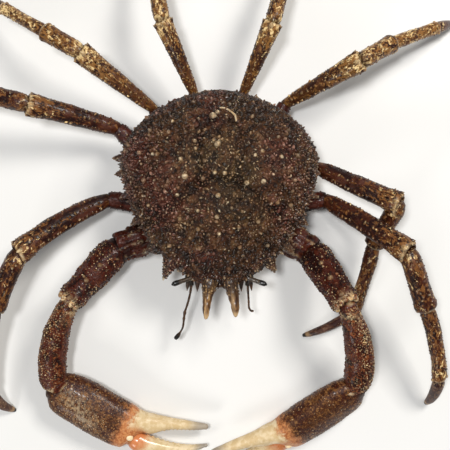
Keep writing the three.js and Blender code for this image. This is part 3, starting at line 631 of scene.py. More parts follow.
# For each piece its azimuth, from straight out to its own side towards the
# rear, and its rise; the first entry is the ischium and gives its length too.
POSE = {
    "leg1": dict(
        left=[(33.4, 5.5, 17.8), (-35.3, 32.2), (-68.2, -20.2), (-74.7, -21.8), (-96.9, -50.9)],
        right=[(36.9, 5.2, 13.3), (-32.6, 20.2), (-63.5, -12.7), (-81.0, -15.4), (-119.1, -41.8)],
    ),
    "leg2": dict(
        left=[(29.6, 4.2, 10.9), (-26.5, 23.5), (-115.7, -34.3), (-104.9, -13.9), (-152.5, -18.8)],
        right=[(45.8, 45.6, 12.1), (13.3, 22.4), (15.6, -9.5), (1.8, -15.1), (4.4, -47.6)],
    ),
    "leg3": dict(
        left=[(34.8, 65.3, 10.5), (26.4, 32.4), (31.8, -27.6), (23.0, -24.7), (24.8, -53.0)],
        right=[(31.2, 62.1, 13.8), (36.4, 23.2), (31.2, -10.4), (31.7, -24.4), (38.2, -54.9)],
    ),
    "leg4": dict(
        left=[(29.1, 90.4, 16.2), (66.3, 24.7), (76.0, -16.7), (77.8, -22.2), (76.3, -54.5)],
        right=[(30.3, 86.9, 15.0), (65.6, 24.7), (78.1, -12.3), (78.1, -24.9), (79.5, -55.1)],
    ),
    "claw": dict(
        left=[(30.2, -30.5, 12.5), (-59.3, 37.2), (-80.5, -21.6), (-145.8, -14.0)],
        right=[(35.0, -19.7, 11.5), (-48.3, 10.4), (-77.3, -14.2), (-152.9, -4.4)],
    ),
}
# How far a piece bows sideways at its middle, mm, away from the body.
BOW = {
    "leg1": dict(left=dict(merus=1.0, propodus=2.2, dactyl=1.2), right=dict(merus=3.3, propodus=2.2, dactyl=3.4)),
    "leg2": dict(left=dict(propodus=1.2, dactyl=1.5), right=dict(merus=0.8)),
    "leg3": dict(left=dict(), right=dict()),
    "leg4": dict(left=dict(), right=dict()),
}
PALM_ROLL = dict(left=42, right=3)


def joints(base, lengths, pose):
    points = [vec(*base)]
    for i, entry in enumerate(pose):
        length, azimuth, rise = entry if i == 0 else (lengths[i - 1], *entry)
        points.append(points[-1] + direction(azimuth, rise) * length)
    return points


def leg_points(name, side):
    p = joints(LEG[name]["base"], LEG[name]["length"], POSE[name][side])
    # the tip reaches a little below the floor before it is flattened there
    tip = 0.34 * LEG[name]["radius"][3] * math.cos(math.radians(POSE[name][side][4][1]))
    p[5] = vec(p[5][0], p[5][1], tip - 0.35)
    return p


# Sections: place along the piece, half width, half height, sideways shift and
# upward shift, all but the first as shares of the piece's radius.
SECTIONS = dict(
    ischium=[(0, 1.0, 1.0, 0, 0), (0.12, 1.06, 1.04, 0, 0), (0.26, 1.1, 1.08, 0, 0), (0.34, 0.98, 0.98, 0, 0), (0.46, 1.0, 0.99, 0, 0), (0.62, 0.94, 0.94, 0, 0), (0.7, 0.86, 0.87, 0, 0), (0.8, 0.88, 0.88, 0, 0), (0.93, 0.84, 0.84, 0, 0), (1, 0.76, 0.76, 0, 0)],
    merus=[(0, 0.62, 0.62, 0, 0), (0.03, 0.68, 0.68, 0, 0), (0.09, 0.77, 0.78, 0, 0), (0.2, 0.85, 0.86, 0, 0), (0.35, 0.91, 0.93, 0, 0), (0.55, 0.98, 0.98, 0, 0.02), (0.8, 1.02, 1.02, 0, 0.04), (0.9, 1.12, 1.12, 0, 0.06), (0.95, 1.15, 1.13, 0, 0.06), (0.985, 1.1, 1.07, 0, 0.05), (1.005, 0.99, 0.97, 0, 0.03), (1.014, 0.9, 0.9, 0, 0.03)],
    carpus=[(0, 0.76, 0.76, 0, 0), (0.04, 0.86, 0.86, 0, 0.03), (0.1, 0.97, 0.99, 0, 0.07), (0.25, 1.0, 1.02, 0, 0.1), (0.5, 0.98, 1.0, 0, 0.1), (0.84, 1.08, 1.06, 0, 0.07), (0.93, 1.13, 1.09, 0, 0.04), (0.98, 1.06, 1.03, 0, 0.02), (1.004, 0.95, 0.94, 0, 0), (1.014, 0.86, 0.86, 0, 0)],
    propodus=[(0, 0.76, 0.76, 0, 0), (0.03, 0.88, 0.87, 0, 0), (0.08, 1.0, 0.99, 0, 0), (0.2, 1.03, 1.02, 0, 0), (0.35, 0.97, 0.99, 0, 0.02), (0.7, 0.92, 0.94, 0, 0.03), (0.92, 1.0, 0.98, 0, 0.04), (0.975, 0.96, 0.94, 0, 0.02), (1.0, 0.86, 0.85, 0, 0), (1.008, 0.78, 0.78, 0, 0)],
    dactyl=[(0, 0.7, 0.7, 0, 0), (0.04, 0.84, 0.84, 0, 0.05), (0.12, 1.0, 0.98, 0, 0.14), (0.3, 0.97, 0.97, 0, 0.3), (0.5, 0.88, 0.88, 0, 0.36), (0.7, 0.77, 0.77, 0, 0.3), (0.86, 0.62, 0.62, 0, 0.16), (0.95, 0.48, 0.48, 0, 0.05), (1, 0.34, 0.34, 0, 0)],
)
# The last two pairs of legs have meri that widen evenly towards the knee.
CONICAL = [(0, 0.5, 0.5, 0, 0), (0.03, 0.57, 0.57, 0, 0), (0.1, 0.65, 0.66, 0, 0), (0.3, 0.78, 0.79, 0, 0), (0.6, 0.95, 0.96, 0, 0.02), (0.85, 1.08, 1.06, 0, 0.04), (0.93, 1.16, 1.12, 0, 0.05), (0.985, 1.04, 1.0, 0, 0.04), (1.012, 0.86, 0.86, 0, 0.02)]
CLAW_SECTIONS = dict(  # mm
    ischium=[(0, 11.2, 11.2, 0, 0), (0.16, 12.8, 12.4, 0, 0), (0.3, 13.4, 13.0, 0, 0), (0.37, 11.6, 11.4, 0, 0), (0.5, 12.4, 12.0, 0, 0), (0.68, 11.6, 11.2, 0, 0), (0.74, 10.6, 10.4, 0, 0), (0.85, 11.4, 11.2, 0, 0), (0.95, 11.4, 11.2, 0, 0), (1, 10.7, 10.5, 0, 0), (1.012, 9.9, 9.8, 0, 0)],
    merus=[(0, 9.2, 9.2, 0, 0), (0.03, 10.6, 10.4, 0, 0), (0.1, 12.1, 11.6, 0, 0), (0.2, 12.3, 11.7, 0, 0), (0.5, 11.8, 11.3, 0, 0), (0.8, 10.4, 10.2, 0, 0), (0.9, 10.9, 10.7, 0, 0.6), (0.96, 10.2, 10, 0, 0.5), (1.012, 8.2, 8.2, 0, 0.4)],
    carpus=[(0, 6.2, 6.2, 0, 0), (0.05, 7.0, 7.0, -0.6, 0.2), (0.12, 7.8, 7.8, -1.8, 0.4), (0.25, 8.6, 8.5, -3.6, 0.5), (0.4, 9.6, 9.3, -4.7, 0.4), (0.55, 10.3, 9.8, -4.9, 0.2), (0.7, 10.7, 10.1, -4.3, 0), (0.88, 10.9, 10.2, -1.9, 0), (0.96, 10.2, 9.7, -0.6, 0), (1.01, 8.5, 8.2, 0, 0)],
)
# Palm and fixed finger as one body, and the moving finger, in the plane of the
# palm: distance from the wrist, half breadth, half thickness, sideways shift, lift.
PALM_SECTIONS = [(0, 9.4, 6.8, -0.8, 0), (2.2, 12.0, 8.0, -1.2, 0), (6.2, 15.4, 9.4, -1.4, 0), (18.6, 18.0, 11.2, -1.2, 0), (34, 18.6, 12.0, -2.0, 0), (46.6, 18.5, 12.0, -2.8, 0), (60, 18.0, 11.6, -3.4, 0), (67, 17.2, 10.9, -3.4, 0), (71, 14.9, 10.0, -1.4, 0), (74.5, 10.6, 9.0, 3.4, 0), (78.5, 8.4, 8.0, 6.4, 0), (83, 8.3, 7.0, 7.6, 0), (87, 7.7, 6.3, 9.2, 0), (91, 6.3, 5.7, 11.6, 0), (95.5, 5.1, 5.1, 14.0, 0), (103, 4.3, 4.4, 17.2, 0), (113, 3.4, 3.5, 20.8, 0), (119, 2.8, 2.8, 23.3, 0), (121.5, 2.2, 2.2, 24.3, 0)]
FINGER_SECTIONS = [(72.5, 5.6, 5.4, -9.8, 0), (75, 7.0, 6.4, -10.0, 0), (78.5, 8.0, 7.0, -10.0, 0), (83, 7.6, 6.8, -9.6, 0), (93, 6.3, 5.9, -7.3, 0), (105, 4.9, 4.7, -3.5, 0), (118, 3.6, 3.6, 2.8, 0), (125.5, 2.4, 2.5, 8.4, 0), (128.2, 1.7, 1.8, 10.8, 0)]


class Loft:
    """A smooth limb piece on the line a-b. Rows: distance, half width, half height, side, up, in mm."""

    def __init__(self, a, b, rows, roll=0.0, power=1.0, relief=None):
        self.a, self.b, self.power, self.relief = a, b, power, relief
        self.along, self.side, self.up = axes(a, b, roll)
        self.rows = np.array(rows, float)
        self.first, self.last = self.rows[0, 0], self.rows[-1, 0]

    def section(self, d):
        return curve_through(self.rows[:, 0], self.rows[:, 1:], np.asarray(d, float))

    def point(self, d, angle, share=1.0, push=0.0, rough=True):
        """Surface point at distance d along and angle round (0 = side, 90 degrees = up)."""
        d, angle = np.broadcast_arrays(np.asarray(d, float), np.asarray(angle, float))
        s = self.section(d)
        c, sn = np.cos(angle), np.sin(angle)
        c = np.sign(c) * np.abs(c) ** self.power
        sn = np.sign(sn) * np.abs(sn) ** self.power
        centre = self.a + self.along * (np.asarray(d) + push)[..., None] + self.side * s[..., 2:3] + self.up * s[..., 3:4]
        extra = 0.0
        if rough and self.relief is not None:
            base = centre + self.side * (s[..., 0] * c)[..., None] + self.up * (s[..., 1] * sn)[..., None]
            extra = self.relief(d, angle, base)
        return centre + self.side * ((s[..., 0] + extra) * share * c)[..., None] + self.up * ((s[..., 1] + extra) * share * sn)[..., None]

    def normal(self, d, angle):
        e = 0.05
        pd = self.point(np.asarray(d) + e, angle, rough=False) - self.point(np.asarray(d) - e, angle, rough=False)
        pa = self.point(d, np.asarray(angle) + 0.01, rough=False) - self.point(d, np.asarray(angle) - 0.01, rough=False)
        n = unit(np.cross(pa, pd))
        centre = self.a + self.along * np.asarray(d)[..., None]
        flip = np.einsum("...i,...i->...", n, self.point(d, angle, rough=False) - centre) < 0
        n[flip] *= -1
        return n

    def skin(self, around, step, start_cap=0.55, end="cup"):
        """Rings and poles of the closed body, with each vertex's distance along."""
        count = max(6, int((self.last - self.first) / step))
        body = np.linspace(self.first, self.last, count + 1)
        angle = (np.arange(around) / around) * 2 * math.pi
        r0 = self.section(self.first)[0]
        r1 = self.section(self.last)[0]
        rings, where = [], []
        for k in range(1, 5):
            q = k / 5 * math.pi / 2
            rings.append(self.point(np.full(around, self.first), angle, math.sin(q), -start_cap * r0 * math.cos(q)))
            where.append(self.first)
        for d in body:
            rings.append(self.point(np.full(around, d), angle))
            where.append(d)
        if end == "cup":
            for share, push in ((0.985, 0.22), (0.95, 0.3), (0.9, 0.12), (0.86, -0.7), (0.74, -0.28 * r1), (0.4, -0.42 * r1)):
                rings.append(self.point(np.full(around, self.last), angle, share, push))
                where.append(self.last)
            tail = -0.46 * r1
        else:
            for k in range(1, 5):
                q = k / 5 * math.pi / 2
                rings.append(self.point(np.full(around, self.last), angle, math.cos(q), 0.9 * r1 * math.sin(q)))
                where.append(self.last)
            tail = 0.9 * r1
        s0, s1 = self.section(self.first), self.section(self.last)
        p0 = self.a + self.along * (self.first - start_cap * r0) + self.side * s0[2] + self.up * s0[3]
        p1 = self.a + self.along * (self.last + tail) + self.side * s1[2] + self.up * s1[3]
        verts, faces = tube(np.array(rings), p0, p1)
        where = np.concatenate([np.repeat(where, around), [self.first, self.last]])
        return verts, faces, where


def rows_of(table, length, scale=1.0, bow=0.0):
    return [(t * length, w * scale, h * scale, s * scale - bow * 4 * max(t, 0) * max(1 - t, 0), u * scale) for t, w, h, s, u in table]


def make_room(verts, loft, gap=0.35, reach=0.45):
    """Pushes points out of the near end of the next piece, so that it sits in an open cup."""
    rel = verts - loft.a
    d = rel @ loft.along
    limit = loft.first + reach * (loft.last - loft.first)
    r = loft.section(np.clip(d, loft.first, limit))
    half = (r[:, 0] + r[:, 1]) / 2 + gap
    axis_point = loft.a + loft.along * np.clip(d, loft.first, None)[:, None] + loft.side * r[:, 2:3] + loft.up * r[:, 3:4]
    off = verts - axis_point
    dist = np.linalg.norm(off, axis=1)
    inside = (dist < half) & (d < limit) & (dist > 1e-6)
    out = verts.copy()
    out[inside] = axis_point[inside] + off[inside] * (half[inside] / dist[inside])[:, None]
    return out


def shell_relief(seed, small=0.22, big=0.45, size=2.6):
    return lambda d, angle, p: big * fbm(p, 10, seed, 2) + small * fbm(p, size, seed + 7, 2)


def scatter(loft, count, gap, low=0.08, high=0.95, around=(0, 2 * math.pi), weight=None):
    """Spread points over a piece: distances and angles, no two nearer than the gap."""
    d = loft.first + RNG.uniform(low, high, count) * (loft.last - loft.first)
    a = RNG.uniform(around[0], around[1], count)
    if weight is not None:
        keep = RNG.uniform(0, 1, count) < weight((d - loft.first) / (loft.last - loft.first), a)
        d, a = d[keep], a[keep]
    p = loft.point(d, a, rough=False)
    k = spread(p, gap)
    return d[k], a[k]


def add_bumps(bag, loft, d, a, radius, height, profile, sides=6, pale=0.6, lean=0.0, **traits):
    if not len(d):
        return
    p, n = loft.point(d, a), loft.normal(d, a)
    axis = unit(n + loft.along * lean)
    verts, faces, share, which = bumps(p, axis, radius, height, profile, sides, 0.3)
    pale = np.broadcast_to(np.asarray(pale, float), (len(d),))
    span = loft.last - loft.first
    bag.add(verts, faces, pale=share**1.5 * pale[which], along=((d - loft.first) / span)[which], **traits)


def round_body(centre, radius, squash=(1, 1, 1), rows=8, cols=12, frame3=None):
    """A closed rounded knob."""
    q = np.linspace(0, math.pi, rows + 2)[1:-1]
    a = np.arange(cols) / cols * 2 * math.pi
    x, y, z = frame3 if frame3 is not None else (vec(1, 0, 0), vec(0, 1, 0), vec(0, 0, 1))
    ring = (
        centre
        + radius * squash[0] * (np.sin(q)[:, None] * np.cos(a)[None])[..., None] * x
        + radius * squash[1] * (np.sin(q)[:, None] * np.sin(a)[None])[..., None] * y
        + radius * squash[2] * (np.cos(q)[:, None] * np.ones(cols)[None])[..., None] * z
    )
    return tube(ring, centre + z * radius * squash[2], centre - z * radius * squash[2])


def spike(root, tip, radius, bend=(0, 0, 0), rows=12, cols=12, fullness=1.35, seed=0, ridges=0.0):
    """A tapering spine with a slight bend. Returns vertices, faces and each vertex's share of the way to the tip."""
    root, tip, bend = np.asarray(root, float), np.asarray(tip, float), np.asarray(bend, float)
    along, side, up = axes(root, tip)
    length = np.linalg.norm(tip - root)
    t = np.concatenate([[-0.12], np.linspace(0, 0.93, rows - 3), [0.965, 0.985]])
    r = radius * np.maximum(1 - np.clip(t, 0, 1) ** fullness, 0.0) ** 0.92
    r[-2:] = np.array([0.86, 0.55]) * r[-3]
    a = np.arange(cols) / cols * 2 * math.pi
    centre = root + along * (t * length)[:, None] + bend * (np.clip(t, 0, 1) * (1 - np.clip(t, 0, 1)) * 4)[:, None]
    ring = centre[:, None] + r[:, None, None] * (np.cos(a)[None, :, None] * side + np.sin(a)[None, :, None] * up)
    radial = unit(ring - centre[:, None])
    wobble = radius * (0.07 * fbm(ring, max(radius, 1.0), seed, 2) + ridges * np.cos(5 * a)[None] * (1 - np.clip(t, 0, 1))[:, None])
    ring = ring + radial * (wobble * (t < 0.9)[:, None])[..., None]
    verts, faces = tube(ring, root - along * 0.16 * length, tip)
    share = np.concatenate([np.repeat(np.clip(t, 0, 1), cols), [0, 1]])
    return verts, faces, share


# --------------------------------------------------------------- carapace

WIDEST, CENTRE = 17.0, 5.0


def edge_height(y):
    return np.where(y < WIDEST, 42 + 8 * (WIDEST - y) / 92, 42 - 6 * (y - WIDEST) / 58)


def body_section(y):
    front = y < WIDEST
    t = np.clip(np.where(front, (WIDEST - y) / 92, (y - WIDEST) / 58), 0, 1)
    half = 73.9 * np.where(front, (1 - t**1.57) ** 0.55, (1 - t**2) ** 0.6)
    dome = 44 * np.where(front, (1 - t**1.8) ** 0.9, (1 - t**2) ** 0.55)
    rise = np.where(front, smooth((-46 - y) / 29, 0, 1) * 14, t * 4)
    depth = (edge_height(y) - 22 - rise) * (1 - t**8) ** 0.5
    return half, dome, depth


_y = np.concatenate([-75 + 92 * (1 - np.cos(np.linspace(0, math.pi / 2, 500))), 17 + 58 * np.sin(np.linspace(0, math.pi / 2, 500))[1:]])
_x = body_section(_y)[0]
_theta = np.arctan2(_y - CENTRE, _x)
_reach = np.hypot(_x, _y - CENTRE)


def reach(theta):
    """Distance from the centre of the body to its outline, seen from above."""
    folded = np.arctan2(np.sin(theta), np.abs(np.cos(theta)))
    return np.interp(folded, _theta, _reach)


INSET = 0.7  # the granules stand this far out of the bare shell


def back(theta, psi):
    """The back of the bare shell: psi is 0 at the crown and 90 degrees at the margin."""
    q = np.sin(psi)
    r = reach(theta) * q
    x, y = r * np.cos(theta), CENTRE + r * np.sin(theta)
    half, dome, _ = body_section(y)
    with np.errstate(divide="ignore", invalid="ignore"):
        u = np.where(half > 0.01, np.abs(x) / half, 1.0)
    lift = (1 - np.clip(u, 0, 1) ** 2.1) ** (1 / 2.1)
    # close to the margin the height comes from psi, which keeps the rim round
    rim = np.cos(psi)
    blend = smooth(psi, 1.2, 1.5)
    z = edge_height(y) + dome * (lift * (1 - blend) + np.minimum(lift, rim * 1.4) * blend)
    return np.stack([x, y, z], -1)


def flank(theta, a):
    """Below the margin: a is 0 at the margin and 90 degrees under the middle."""
    q = np.cos(a) ** (2 / 3)
    down = np.sin(a) ** (2 / 3)
    y0 = CENTRE + reach(theta) * np.sin(theta)
    r = reach(theta) * q * (1 - 0.2 * down)
    x, y = r * np.cos(theta), CENTRE + r * np.sin(theta)
    depth = body_section(y0 * 0.35 + y * 0.65)[2]
    return np.stack([x, y, edge_height(y) - depth * down], -1)


def line_distance(x, y, points):
    best = np.full(np.shape(x), 1e9)
    for (x0, y0), (x1, y1) in zip(points[:-1], points[1:]):
        dx, dy = x1 - x0, y1 - y0
        t = np.clip(((x - x0) * dx + (y - y0) * dy) / (dx * dx + dy * dy), 0, 1)
        best = np.minimum(best, np.hypot(x - x0 - t * dx, y - y0 - t * dy))
    return best


# Grooves between the regions of the back, on one side: neck groove, then the
# pair that bounds the heart region, then the one in front of the rear margin.
GROOVES = [
    ([(62, -36), (44, -22), (28, -9), (15, 1), (0, 3)], 3.8, 3.2),
    ([(15, 1), (14, 14), (17, 28), (15, 40), (8, 48)], 3.4, 2.7),
    ([(34, -40), (33, -54)], 3.4, 1.2),
    ([(58, 38), (40, 52), (20, 60), (0, 62)], 3.0, 1.0),
]
LOBES = [  # x, y, widths, height: stomach, heart, gut, gills in two lobes, liver, snout sides
    (0, -28, 24, 20, 2.3), (0, 22, 10, 13, 2.3), (0, 50, 12, 7, 1.2),
    (40, 8, 20, 18, 1.7), (38, 36, 18, 12, 1.5), (47, -38, 9, 8, 1.6), (10, -58, 8, 9, 1.2),
]


def region_relief(x, y):
    ax = np.abs(x)
    h = np.zeros(np.shape(x))
    for points, width, depth in GROOVES:
        h -= depth * np.exp(-((line_distance(ax, y, points) / width) ** 2))
    for cx, cy, wx, wy, height in LOBES:
        h += height * np.exp(-(((ax - cx) / wx) ** 2) - ((y - cy) / wy) ** 2)
    return h


# Tints of the back: redder at the flanks and left front, olive and grey along
# the middle and the front left, as broad soft patches.
TINTS = [  # x, y, width, lean (+ red, - olive)
    (-46, -8, 22, 0.6), (-52, 28, 18, 0.35), (52, 22, 18, 0.25), (44, -18, 18, 0.4), (-22, -22, 12, 0.35),
    (0, 16, 14, -0.3), (6, -14, 16, -0.3), (26, 12, 14, -0.3), (22, -40, 14, -0.3), (20, 44, 18, -0.1), (0, -62, 16, 0.6),
]


def tint(x, y):
    return sum(w * np.exp(-(((x - cx) ** 2 + (y - cy) ** 2) / s**2)) for cx, cy, s, w in TINTS)


def limb_capsules():
    """Root stretches of the limbs, as (start, end, radius), which the shell arches over."""
    out = []
    for side, sign in (("left", 1), ("right", -1)):
        m = vec(sign, 1, 1)
        for name in LEG:
            p = leg_points(name, side)
            out.append((p[0] * m, p[1] * m, LEG[name]["ischium"] * 1.06 + 1.0))
            out.append((p[1] * m, (p[1] + (p[2] - p[1]) * 0.6) * m, LEG[name]["radius"][0] + 1.0))
        p = joints(CLAW["base"], CLAW["length"], POSE["claw"][side])
        out.append((p[0] * m, p[1] * m, 13.2 + 1.0))
        out.append((p[1] * m, (p[1] + (p[2] - p[1]) * 0.6) * m, 12.3 + 1.0))
    return out


CAPSULES = limb_capsules()


def arch(verts, weight):
    """Lifts the flank clear of the limb roots."""
    out = verts.copy()
    for a, b, r in CAPSULES:
        d = (b - a)[:2]
        n = np.hypot(*d)
        u = d / n
        rel = out[:, :2] - a[:2]
        t = rel @ u
        lateral = np.abs(rel @ vec(-u[1], u[0]))
        z = a[2] + (b[2] - a[2]) * np.clip(t / n, 0, 1)
        over = np.sqrt(np.maximum(r * r - lateral**2, 0))
        ahead = np.maximum(np.maximum(-t, t - n), 0)
        over = over * (ahead < 1)
        target = z + over
        lift = (lateral < r) & (out[:, 2] < target) & (out[:, 2] > z - r - 4)
        out[lift, 2] += ((target - out[:, 2]) * weight)[lift]
    return out


def disc_grid(n):
    """A square grid laid over the unit disc, with even cells: (n+1)^2 points."""
    g = np.linspace(-1, 1, n + 1)
    u, v = np.meshgrid(g, g, indexing="ij")
    x = u * np.sqrt(1 - v * v / 2)
    y = v * np.sqrt(1 - u * u / 2)
    return x, y


def build_carapace():
    n = 250
    dx, dy = disc_grid(n)
    rho = np.clip(np.hypot(dx, dy), 0, 1)
    theta = np.arctan2(dy, dx)
    top = back(theta.ravel(), rho.ravel() * math.pi / 2)
    index = np.arange((n + 1) ** 2).reshape(n + 1, n + 1)
    quads = np.stack([index[:-1, :-1], index[1:, :-1], index[1:, 1:], index[:-1, 1:]], -1).reshape(-1, 4)
    rim = np.concatenate([index[:-1, 0], index[-1, :-1], index[:0:-1, -1], index[0, :0:-1]])
    rim_theta = theta.ravel()[rim]
    rings = [flank(rim_theta, a) for a in np.radians([3, 7, 12, 18, 25, 33, 41, 49, 57, 65, 73, 80, 86])]
    pole = vec(0, CENTRE, 22.0)
    verts = np.concatenate([top, *rings, [pole]])
    start, m = len(top), len(rim)
    chain = [rim] + [start + i * m + np.arange(m) for i in range(len(rings))]
    side_quads = []
    for a, b in zip(chain[:-1], chain[1:]):
        side_quads.append(np.stack([a, b, np.roll(b, -1), np.roll(a, -1)], -1))
    last = chain[-1]
    tris = np.stack([last, np.full(m, len(verts) - 1), np.roll(last, -1)], -1)
    faces = [quads, np.concatenate(side_quads), tris]
    faces = outward(verts, faces)
    if np.einsum("i,i->", np.cross(verts[faces[0][0, 1]] - verts[faces[0][0, 0]], verts[faces[0][0, 2]] - verts[faces[0][0, 0]]), vec(0, 0, 1)) < 0:
        faces[0] = faces[0][:, ::-1]
    normals = point_normals(verts, faces)
    x, y = verts[:, 0], verts[:, 1]
    upper = smooth(verts[:, 2], 30, 50)
    fine = fbm(verts, 3.2, 3, 2)
    lift = region_relief(x, y) * upper * smooth(np.concatenate([rho.ravel(), np.ones(len(verts) - len(top))]), 1.02, 0.8) - INSET
    lift += 0.6 * fbm(verts, 8, 5, 2) + 0.55 * fine
    under = np.zeros(len(verts))
    for i in range(len(rings)):
        under[start + i * m : start + (i + 1) * m] = i + 1
    under[-1] = len(rings)
    lift *= smooth(under, 13, 9)
    verts = verts + normals * lift[:, None]
    verts = arch(verts, smooth(under, 0.0, 2.0))
    verts = arch(verts, smooth(under, 0.0, 2.0))
    # Painted shade: darker in the lows of the fine relief and in the grooves between the regions, over a dark bare
    # shell.
    dark = 0.55 + 0.45 * smooth(-fine, -0.2, 0.6) + 0.5 * smooth(-region_relief(x, y), 0.4, 1.8)
    dark = dark * (1 - 0.4 * smooth(under, 1, 6))
    bag = Bag()
    bag.add(verts, faces, dark=np.clip(dark, 0, 1) * 0.85, warm=tint(x, y) + 0.2 * smooth(under, 0, 4), pale=0.12 * smooth(under, 2, 9))
    return bag


def surface_back(theta, psi):
    """The finished back with its relief, and its normal."""
    e = 0.004
    p = back(theta, psi)
    n = unit(np.cross(back(theta + e, psi) - back(theta - e, psi), back(theta, psi + e) - back(theta, psi - e)))
    n[n[:, 2] < 0] *= -1
    lift = region_relief(p[:, 0], p[:, 1]) * smooth(p[:, 2], 30, 50) * smooth(psi / (math.pi / 2), 1.02, 0.8) - INSET + 0.6 * fbm(p, 8, 5, 2) + 0.55 * fbm(p, 3.2, 3, 2)
    return p + n * lift[:, None], n


def surface_flank(theta, a):
    e = 0.004
    p = flank(theta, a)
    n = unit(np.cross(flank(theta + e, a) - flank(theta - e, a), flank(theta, a + e) - flank(theta, a - e)))
    out = np.stack([np.cos(theta), np.sin(theta), np.zeros(len(theta))], -1)
    n[np.einsum("ij,ij->i", n, out) < 0] *= -1
    return p - n * INSET, n


# Larger pale knobs of the back: x, y, radius, height
MIDLINE = [(-4.4, 50.6, 2.5, 3.6), (-1.2, 52.4, 1.7, 3.0), (-1.0, 28.2, 2.2, 4.6), (-2.9, 8.8, 1.5, 2.8), (4.1, 8.4, 1.5, 2.8), (-0.6, -7.4, 1.8, 4.0), (-1.4, -22, 1.6, 3.8), (0, -34, 1.5, 3.6)]
PALE_KNOBS = [  # those on the sides that are encrusted pale
    (-24.3, 6.0, 2.2, 2.4), (-17.6, 32.6, 1.4, 2.4), (-17.2, 27.0, 1.3, 2.2), (-27, 18.6, 1.5, 2.6), (30.8, 24, 1.4, 2.6), (25.6, 21, 1.4, 2.4), (44.4, 20.4, 1.6, 2.4), (20, 1.6, 1.7, 2.6),
    (31.2, 2.6, 1.9, 2.2), (-15, -18, 1.3, 2.4), (-30, -7, 1.4, 2.6), (-33.6, 46.4, 1.3, 2.2),
]
SIDE_KNOBS = [
    (42, -12.5, 1.5, 2.8), (-44, 22, 1.5, 2.8), (42, 34, 1.4, 2.6), (-36, 38, 1.4, 2.6), (-11.5, 4.8, 1.6, 2.6), (15, -44, 1.5, 2.8), (-14, -45, 1.5, 2.8), (57, 22, 1.6, 3.0),
    (14, -30, 1.5, 2.8), (-15, -31, 1.5, 2.8), (28, -26, 1.5, 2.6), (-28, -24, 1.5, 2.6), (9, -16, 1.3, 2.6), (54, 4, 1.6, 3.0), (-54, 4, 1.6, 3.0), (-58, 24, 1.6, 3.0),
    (52, -14, 1.6, 3.0), (-51, -14, 1.6, 3.0), (50, 40, 1.5, 2.8), (-50, 40, 1.5, 2.8), (24, 50, 1.4, 2.6), (13, 20, 1.3, 2.4), (-10, 17, 1.3, 2.4), (10, 38, 1.3, 2.4),
    (-10, 40, 1.3, 2.4), (36, -44, 1.6, 3.0), (-37, -44, 1.6, 3.0),
]


def place_on_back(x, y):
    """theta and psi of the point of the back above (x, y)."""
    theta = math.atan2(y - CENTRE, x)
    q = min(1.0, math.hypot(x, y - CENTRE) / float(reach(np.array([theta]))[0]))
    return theta, math.asin(q)


